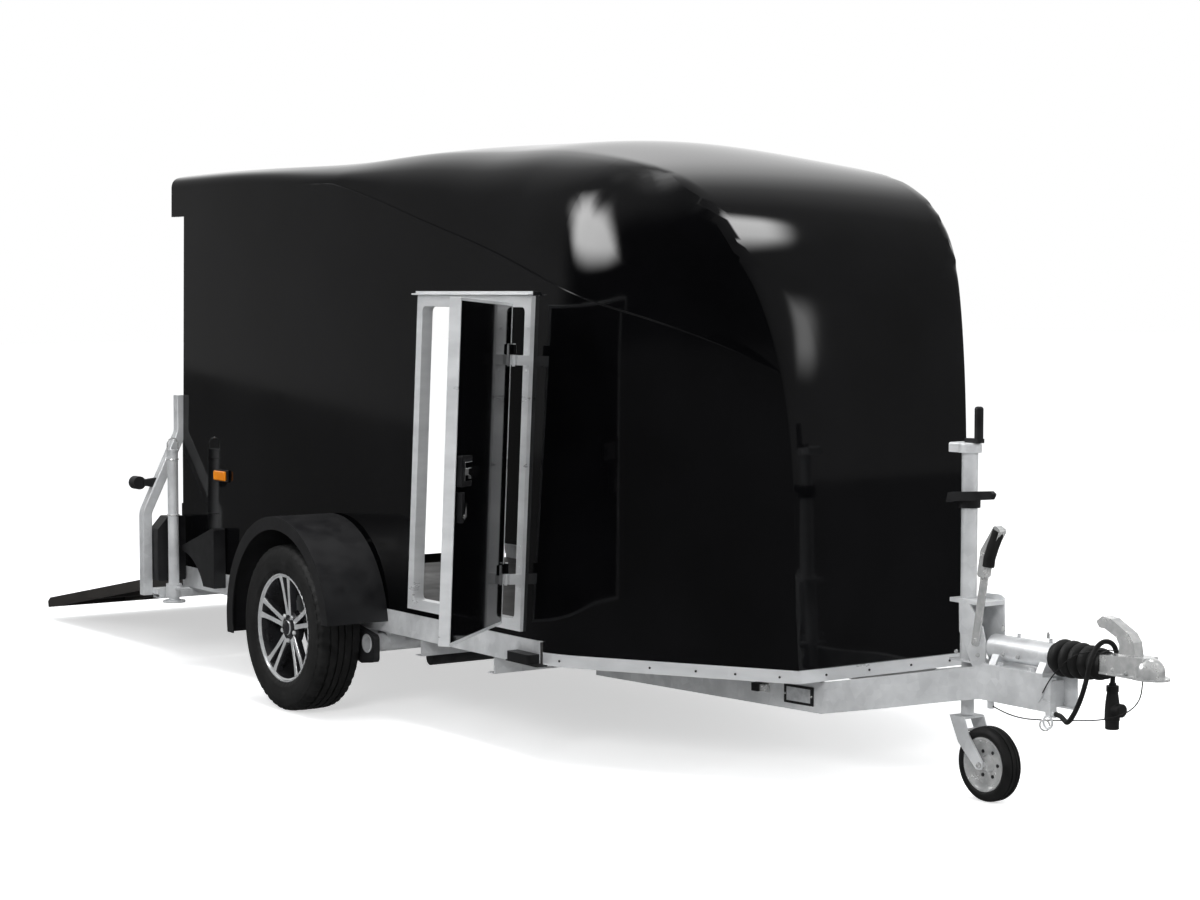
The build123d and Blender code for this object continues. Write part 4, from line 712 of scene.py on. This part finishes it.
for side in (-1, 1):
    fittings.bolt((ROLLER_MIDDLE[0], side * FORK_FACE, ROLLER_MIDDLE[2]), (0, side, 0), 8)
fittings.rod((2486, -38, 205), (2486, 38, 205), 5, 14)
fittings.done("jockey_fork_bolts", ["zinc"], "jockey_fork")

# ---------------------------------------------------------------- side door
# The doorway's own frame: along it, up it and out of it, from its lower rear corner.
LEAN = 0.044
LEAN_LENGTH = math.hypot(1, LEAN)
DOOR_U = np.array((1.0, 0, 0))
DOOR_V = np.array((0, LEAN, 1)) / LEAN_LENGTH
DOOR_W = np.array((0, -1, LEAN)) / LEAN_LENGTH
DOOR_START = np.array((DOOR[0], -HALF, DOOR[2]))
OPEN = math.radians(134)
HINGE_U, HINGE_W = 681, 51


def shut(u, v, w):
    """A point of the doorway: along it, up it and out of it."""
    return DOOR_START + u * DOOR_U + v * DOOR_V + w * DOOR_W


def opened(u, v, w):
    """The same point carried round the hinge with the open leaf."""
    du, dw = u - HINGE_U, w - HINGE_W
    return shut(HINGE_U + du * math.cos(OPEN) + dw * math.sin(OPEN), v,
                HINGE_W - du * math.sin(OPEN) + dw * math.cos(OPEN))


leaf = Shape()
for low, high in (((24, 24, 10.4), (34, 1034.5, 44.2)), ((668, 24, 10.4), (678, 1034.5, 44.2)),
                  ((34, 24, 10.4), (668, 34, 44.2)), ((34, 1024.5, 10.4), (668, 1034.5, 44.2))):
    leaf.block(low, high, 1.2, opened)
leaf.done("door_edge", ["aluminium"], "side_door")
latch = Shape()
latch.block((62, 494, 57.6), (158, 566, 60.4), 1.0, opened, 1)
latch.block((70, 502, 60.4), (150, 558, 62.6), 1.0, opened, 0)
latch.hull([opened(u, v, w) for u, v, w in (
    (72, 520, 62.6), (72, 540, 62.6), (104, 516, 62.6), (104, 544, 62.6), (104, 518, 74),
    (104, 542, 74), (148, 514, 80), (148, 546, 80), (152, 516, 76), (152, 544, 76),
    (80, 522, 70), (80, 538, 70))], 0)
latch.rod(opened(128, 512, 62.6), opened(128, 512, 66.5), 5.5, 20, 0)
latch.block((60, 380, 43.6), (92, 470, 58), 1.5, opened, 1)
latch.rod(opened(76, 400, 58), opened(76, 400, 66), 9, 24, 0)
latch.hull([opened(u, v, w) for u, v, w in (
    (70, 396, 66), (82, 396, 66), (70, 404, 66), (82, 404, 66), (71, 440, 70), (81, 440, 70),
    (71, 440, 66), (81, 440, 66), (72, 398, 70), (80, 398, 70))], 0)
latch.done("door_handle", ["chrome", "black_plastic"], "side_door")
surround = Shape()
surround.block((-9, 1061, 6.4), (712, 1066, 26), 1.2, shut)
surround.block((-9, 1066, 6.4), (712, 1074, 9.4), 0.9, shut)
for height in (150.0, 840.0):
    for shift in (-18, 52, 118):
        surround.rod(shut(688, height + shift, 6.4), shut(688, height + shift, 9.6), 5.2, 16)
surround.done("door_drip_rail", ["aluminium"], "trailer")

# ---------------------------------------------------------------- lamps, plate and fixings
marks_shape = Shape()
for side in (-1, 1):
    face = side * (wall_half(-900, 768, 0) + 0.4)
    low, high = sorted((face, face + side * 9))
    marks_shape.block((-964, low, 744), (-853, high, 791), 2.5, None, 0)
    low, high = sorted((face + side * 9, face + side * 19))
    marks_shape.block((-958, low, 749), (-859, high, 786), 4.0, None, 1)
marks_shape.done("side_markers", ["black_plastic", "amber_lens"], "trailer")

RAIL_WAY = np.array((0.992, 0.128, 0)) / math.hypot(0.992, 0.128)
RAIL_OUT = np.array((0.128, -0.992, 0)) / math.hypot(0.992, 0.128)
RAIL_START = np.array((1909.9, -255.4, 0.0))


def on_rail(u, v, w):
    """On the outer face of the right drawbar rail: along it, height and outwards."""
    return RAIL_START + RAIL_WAY * u + np.array((0, 0, v)) + RAIL_OUT * w


plate = Shape()
plate.block((2, 229, 0.4), (124, 287, 3.4), 0.8, on_rail, 0)
plate.block((14, 237, 3.4), (112, 279, 4.4), 0.4, on_rail, 1)
for u in (8, 118):
    plate.rod(on_rail(u, 258, 3.4), on_rail(u, 258, 6), 3.4, 14, 2)
plate.block((-118, 250, 0.4), (-60, 279, 4), 1.0, on_rail, 2)
plate.block((-116, 252, 4), (-86, 277, 26), 1.5, on_rail, 0)
plate.block((-86, 254, 4), (-64, 275, 20), 1.5, on_rail, 2)
plate.done("rail_plate", ["black_plastic", "plate_grey", "zinc"], "trailer")

rivets = Shape()
for x, y in ((1398, -738.0), (1532, -661.6), (1667, -585.6), (1800, -509.8), (1912, -446), (2035, -374)):
    for side in (1, -1):
        place = np.array((x, y * side, 331.0))
        way = np.array((0.513, -0.859 * side, 0))
        rivets.rod(place - way * 1.0, place + way * 2.4, 3.6, 12)
for y in (-230, -60, 110, 270):
    rivets.rod((2077.5, y, 331), (2081, y, 331), 3.6, 12)
rivets.done("skirt_rivets", ["black_steel"], "trailer")


# ---------------------------------------------------------------- coupling and drawbar fittings
fixings = Shape()
for x in (2640, 2700):
    for side in (-1, 1):
        fixings.bolt((x, side * 46.3, 446), (0, side, 0), 6.5)
for x in (2440, 2530):
    for side in (-1, 1):
        fixings.bolt((x, side * 39.3, 430), (0, side, 0), 6)
for x, z in ((3045, 452), (3092, 448)):
    for side in (-1, 1):
        fixings.bolt((x, side * 31.2, z), (0, side, 0), 6)
for x in (2590, 2770):
    fixings.rod((x, 0, 503), (x, 0, 516), 4.5, 14)
    fixings.rod((x, 0, 516), (x, 0, 521), 3.2, 14)
fixings.tube([tuple(point) for point in circle_points((2812, -52, 268), 15, 25,
                                                      (0.94, 0.34, 0), (0, 0, 1))], 2.4)
fixings.done("drawbar_fixings", ["zinc"], "trailer")

grips = Shape()
grips.tube([(2577, -48, 692), (2581, -48, 716), (2594, -48, 748), (2609, -48, 778),
            (2618, -48, 800)], 17.5, 18)
grips.done("handbrake_grip", ["black_rubber"], "trailer")

LEG_X, LEG_Y = -1170, 848
straps = Shape()
for side in (-1, 1):
    for height in (600, 820):
        straps.tube([tuple(point) for point in circle_points(
            (LEG_X, side * LEG_Y, height), 23, 33, (1, 0, 0), (0, 1, 0))], 2.4, 8)
    bow = [(-22, 858), (-22, 884), (-14, 898), (0, 903), (14, 898), (22, 884), (22, 858)]
    straps.tube([(LEG_X, side * (LEG_Y + across), height) for across, height in bow], 3, 10)
straps.done("leg_loops", ["zinc"], "trailer")


# ---------------------------------------------------------------- cables
ELECTRIC = [(2847.4, -46, 303), (2864, -46, 303), (2889, -57, 297), (2919, -72, 289),
            (2947, -75, 322), (2968, -74, 362), (2980, -70, 402), (2987, -67, 437),
            (2990, -61, 471), (2989, -42, 503), (2987, -14, 520), (2984, 14, 520),
            (2980, 42, 507), (2973, 62, 479), (2963, 68, 448), (2954, 66, 420),
            (2954, 66, 396)]
BREAKAWAY = [(2812, -62, 360), (2830, -63, 388), (2854, -64, 416), (2882, -63, 443),
             (2911, -59, 470), (2939, -47, 486), (2967, -35, 493), (2996, -23, 498),
             (3024, -12, 503), (3051.5, -2, 501)]
SAFETY = [(2596, -42, 290), (2634, -43, 281), (2682, -45, 274.5), (2734, -46, 274),
          (2786, -46, 279), (2838, -44, 285), (2888, -40, 291), (2936, -32, 297),
          (2984, -24, 304), (3030, -18, 316), (3070, -17, 331), (3108, -21, 352),
          (3137, -27, 378), (3153, -33, 406), (3158, -36, 436.7)]


def cable(name, route, diameter):
    """A cable on a smooth curve through the route's points."""
    data = bpy.data.curves.new(name, "CURVE")
    data.dimensions = "3D"
    data.bevel_depth = diameter / 2
    data.bevel_resolution = 6
    data.resolution_u = 10
    data.use_fill_caps = True
    spline = data.splines.new("NURBS")
    spline.points.add(len(route) - 1)
    for point, (x, y, z) in zip(spline.points, route):
        point.co = (*P(x, y, z), 1)
    spline.order_u = 3
    spline.use_endpoint_u = True
    piece = bpy.data.objects.new(name + "_line", data)
    bpy.context.scene.collection.objects.link(piece)
    data.materials.append(materials["black_rubber"])
    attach(piece, "trailer")
    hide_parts(name)
    return piece


cable("electric_cable", ELECTRIC, 0.014)
cable("breakaway_cable", BREAKAWAY, 0.0035)
cable("safety_cable", SAFETY, 0.0035)

# ---------------------------------------------------------------- floor and light
floor_mesh = bpy.data.meshes.new("floor")
floor_mesh.from_pydata([(-60, -60, -HEIGHT), (60, -60, -HEIGHT), (60, 60, -HEIGHT),
                        (-60, 60, -HEIGHT)], [], [(0, 1, 2, 3)])
floor = bpy.data.objects.new("floor", floor_mesh)
bpy.context.scene.collection.objects.link(floor)
material, tree, principled = shader("floor")
principled.inputs["Base Color"].default_value = (0.9, 0.9, 0.9, 1)
principled.inputs["Roughness"].default_value = 1.0
principled.inputs["Specular IOR Level"].default_value = 0.0
path = node(tree, "ShaderNodeLightPath")
lift = node(tree, "ShaderNodeEmission", Strength=0.56)
seen = node(tree, "ShaderNodeAddShader")
mirrored = node(tree, "ShaderNodeEmission", Strength=0.1)
pick = node(tree, "ShaderNodeMixShader")
direct = node(tree, "ShaderNodeMixShader")
tree.links.new(principled.outputs[0], seen.inputs[0])
tree.links.new(lift.outputs[0], seen.inputs[1])
tree.links.new(path.outputs["Is Camera Ray"], direct.inputs[0])
tree.links.new(principled.outputs[0], direct.inputs[1])
tree.links.new(seen.outputs[0], direct.inputs[2])
tree.links.new(path.outputs["Is Glossy Ray"], pick.inputs[0])
tree.links.new(direct.outputs[0], pick.inputs[1])
tree.links.new(mirrored.outputs[0], pick.inputs[2])
tree.links.new(pick.outputs[0], tree.nodes["Material Output"].inputs["Surface"])
floor_mesh.materials.append(material)

# The camera sees a white world. Reflections see a darker one, brightest straight ahead of the
# main camera and darkest at the trailer's right side, so that the gloss hull stays black.
world = bpy.data.worlds.new("world")
bpy.context.scene.world = world
world.use_nodes = True
tree = world.node_tree
VIEW_AHEAD, RIGHT_SIDE = (-0.82, 0.57, 0.0), (0.1, -0.99, 0.0)
diffuse_light = tree.nodes["Background"]
diffuse_light.inputs["Color"].default_value = (0.55, 0.56, 0.57, 1)
path = node(tree, "ShaderNodeLightPath")
where = node(tree, "ShaderNodeTexCoord")
toward = node(tree, "ShaderNodeVectorMath", operation="DOT_PRODUCT")
toward.inputs[1].default_value = VIEW_AHEAD
tree.links.new(where.outputs["Generated"], toward.inputs[0])
half = node(tree, "ShaderNodeMath", operation="MULTIPLY_ADD")
half.inputs[1].default_value = 0.5
half.inputs[2].default_value = 0.5
tree.links.new(toward.outputs["Value"], half.inputs[0])
sky = ramp(tree, half.outputs[0], [(0.0, 0.12), (0.36, 0.26), (0.7, 0.22), (0.82, 0.45),
                                   (0.92, 1.0)])
beside = node(tree, "ShaderNodeVectorMath", operation="DOT_PRODUCT")
beside.inputs[1].default_value = RIGHT_SIDE
tree.links.new(where.outputs["Generated"], beside.inputs[0])
dark = node(tree, "ShaderNodeMapRange", interpolation_type="SMOOTHSTEP")
dark.inputs["From Min"].default_value = 0.5
dark.inputs["From Max"].default_value = 0.82
dark.inputs["To Min"].default_value = 1.0
dark.inputs["To Max"].default_value = 0.04
tree.links.new(beside.outputs["Value"], dark.inputs["Value"])
mirror = node(tree, "ShaderNodeBackground")
tree.links.new(dark.outputs[0], mirror.inputs["Strength"])
tree.links.new(sky, mirror.inputs["Color"])
glossy = node(tree, "ShaderNodeMixShader")
tree.links.new(path.outputs["Is Glossy Ray"], glossy.inputs[0])
tree.links.new(diffuse_light.outputs[0], glossy.inputs[1])
tree.links.new(mirror.outputs[0], glossy.inputs[2])
white = node(tree, "ShaderNodeBackground", Strength=1.0)
white.inputs["Color"].default_value = (1, 1, 1, 1)
final = node(tree, "ShaderNodeMixShader")
tree.links.new(path.outputs["Is Camera Ray"], final.inputs[0])
tree.links.new(glossy.outputs[0], final.inputs[1])
tree.links.new(white.outputs[0], final.inputs[2])
tree.links.new(final.outputs[0], tree.nodes["World Output"].inputs["Surface"])


def softbox(name, place, aim, size, power):
    """A rectangular lamp aimed at a point, kept out of reflections."""
    data = bpy.data.lights.new(name, "AREA")
    data.shape = "RECTANGLE"
    data.size, data.size_y = size
    data.energy = power
    lamp = bpy.data.objects.new(name, data)
    bpy.context.scene.collection.objects.link(lamp)
    lamp.location = place
    lamp.rotation_mode = "QUATERNION"
    lamp.rotation_quaternion = (Vector(aim) - Vector(place)).to_track_quat("-Z", "Y")
    lamp.visible_glossy = False
    return lamp


def glow_panel(name, corners, strength):
    """A panel that shows only in reflections, bright in its middle and fading to its rim."""
    data = bpy.data.meshes.new(name)
    data.from_pydata([P(*corner_point) for corner_point in corners], [], [(0, 1, 2, 3)])
    places = data.uv_layers.new(name="UVMap")
    for loop, place in zip(places.data, ((0, 0), (1, 0), (1, 1), (0, 1))):
        loop.uv = place
    panel = bpy.data.objects.new(name, data)
    bpy.context.scene.collection.objects.link(panel)
    panel.visible_camera = False
    panel.visible_diffuse = False
    panel.visible_shadow = False
    made, tree, principled = shader(name)
    tree.nodes.remove(principled)
    apart = node(tree, "ShaderNodeSeparateXYZ")
    tree.links.new(node(tree, "ShaderNodeTexCoord").outputs["UV"], apart.inputs[0])
    shares = []
    for axis in (0, 1):
        centred = node(tree, "ShaderNodeMath", operation="SUBTRACT")
        centred.inputs[1].default_value = 0.5
        tree.links.new(apart.outputs[axis], centred.inputs[0])
        size_of = node(tree, "ShaderNodeMath", operation="ABSOLUTE")
        tree.links.new(centred.outputs[0], size_of.inputs[0])
        fade = node(tree, "ShaderNodeMapRange", interpolation_type="SMOOTHSTEP")
        fade.inputs["From Min"].default_value = 0.5
        fade.inputs["From Max"].default_value = 0.12
        tree.links.new(size_of.outputs[0], fade.inputs["Value"])
        shares.append(fade.outputs[0])
    both = node(tree, "ShaderNodeMath", operation="MULTIPLY")
    tree.links.new(shares[0], both.inputs[0])
    tree.links.new(shares[1], both.inputs[1])
    light = node(tree, "ShaderNodeEmission", Strength=strength)
    clear = node(tree, "ShaderNodeBsdfTransparent")
    mixed = node(tree, "ShaderNodeMixShader")
    tree.links.new(both.outputs[0], mixed.inputs[0])
    tree.links.new(clear.outputs[0], mixed.inputs[1])
    tree.links.new(light.outputs[0], mixed.inputs[2])
    tree.links.new(mixed.outputs[0], tree.nodes["Material Output"].inputs["Surface"])
    data.materials.append(made)
    return panel


softbox("overhead", (-3.0, -0.5, 4.6), (-3.0, 0, 0.5), (5.0, 2.6), 230)
softbox("key", (2.5, -5.5, 3.4), (-2.0, 0, 0.6), (2.4, 1.8), 200)
softbox("fill", (3.5, 4.0, 2.6), (-1.5, 0, 0.5), (3.0, 2.4), 140)
# Panels for the highlights of the gloss hull. Their corners were worked out outside this script
# from lines of sight off the hull in the main view.
glow_panel("shoulder_light", [(-683, -1478, 3880), (-69, -1398, 4219), (1722, -3579, 2001),
                               (-339, -3093, 1986)], 16)
glow_panel("roof_light", [(1600, 900, 4300), (2000, 1657, 4150), (3271, 1566, 3572),
                          (2900, 300, 3500)], 12)
glow_panel("ridge_light", [(39, -452, 3364), (602, 703, 3274), (2158, -1277, 3516),
                           (905, -1707, 3234)], 3)
glow_panel("nose_light", [(3700, 1400, 3100), (3801, 1701, 2914), (4308, 1647, 1730),
                          (4390, 1424, 1829)], 4)

bpy.context.scene.view_settings.view_transform = "Standard"
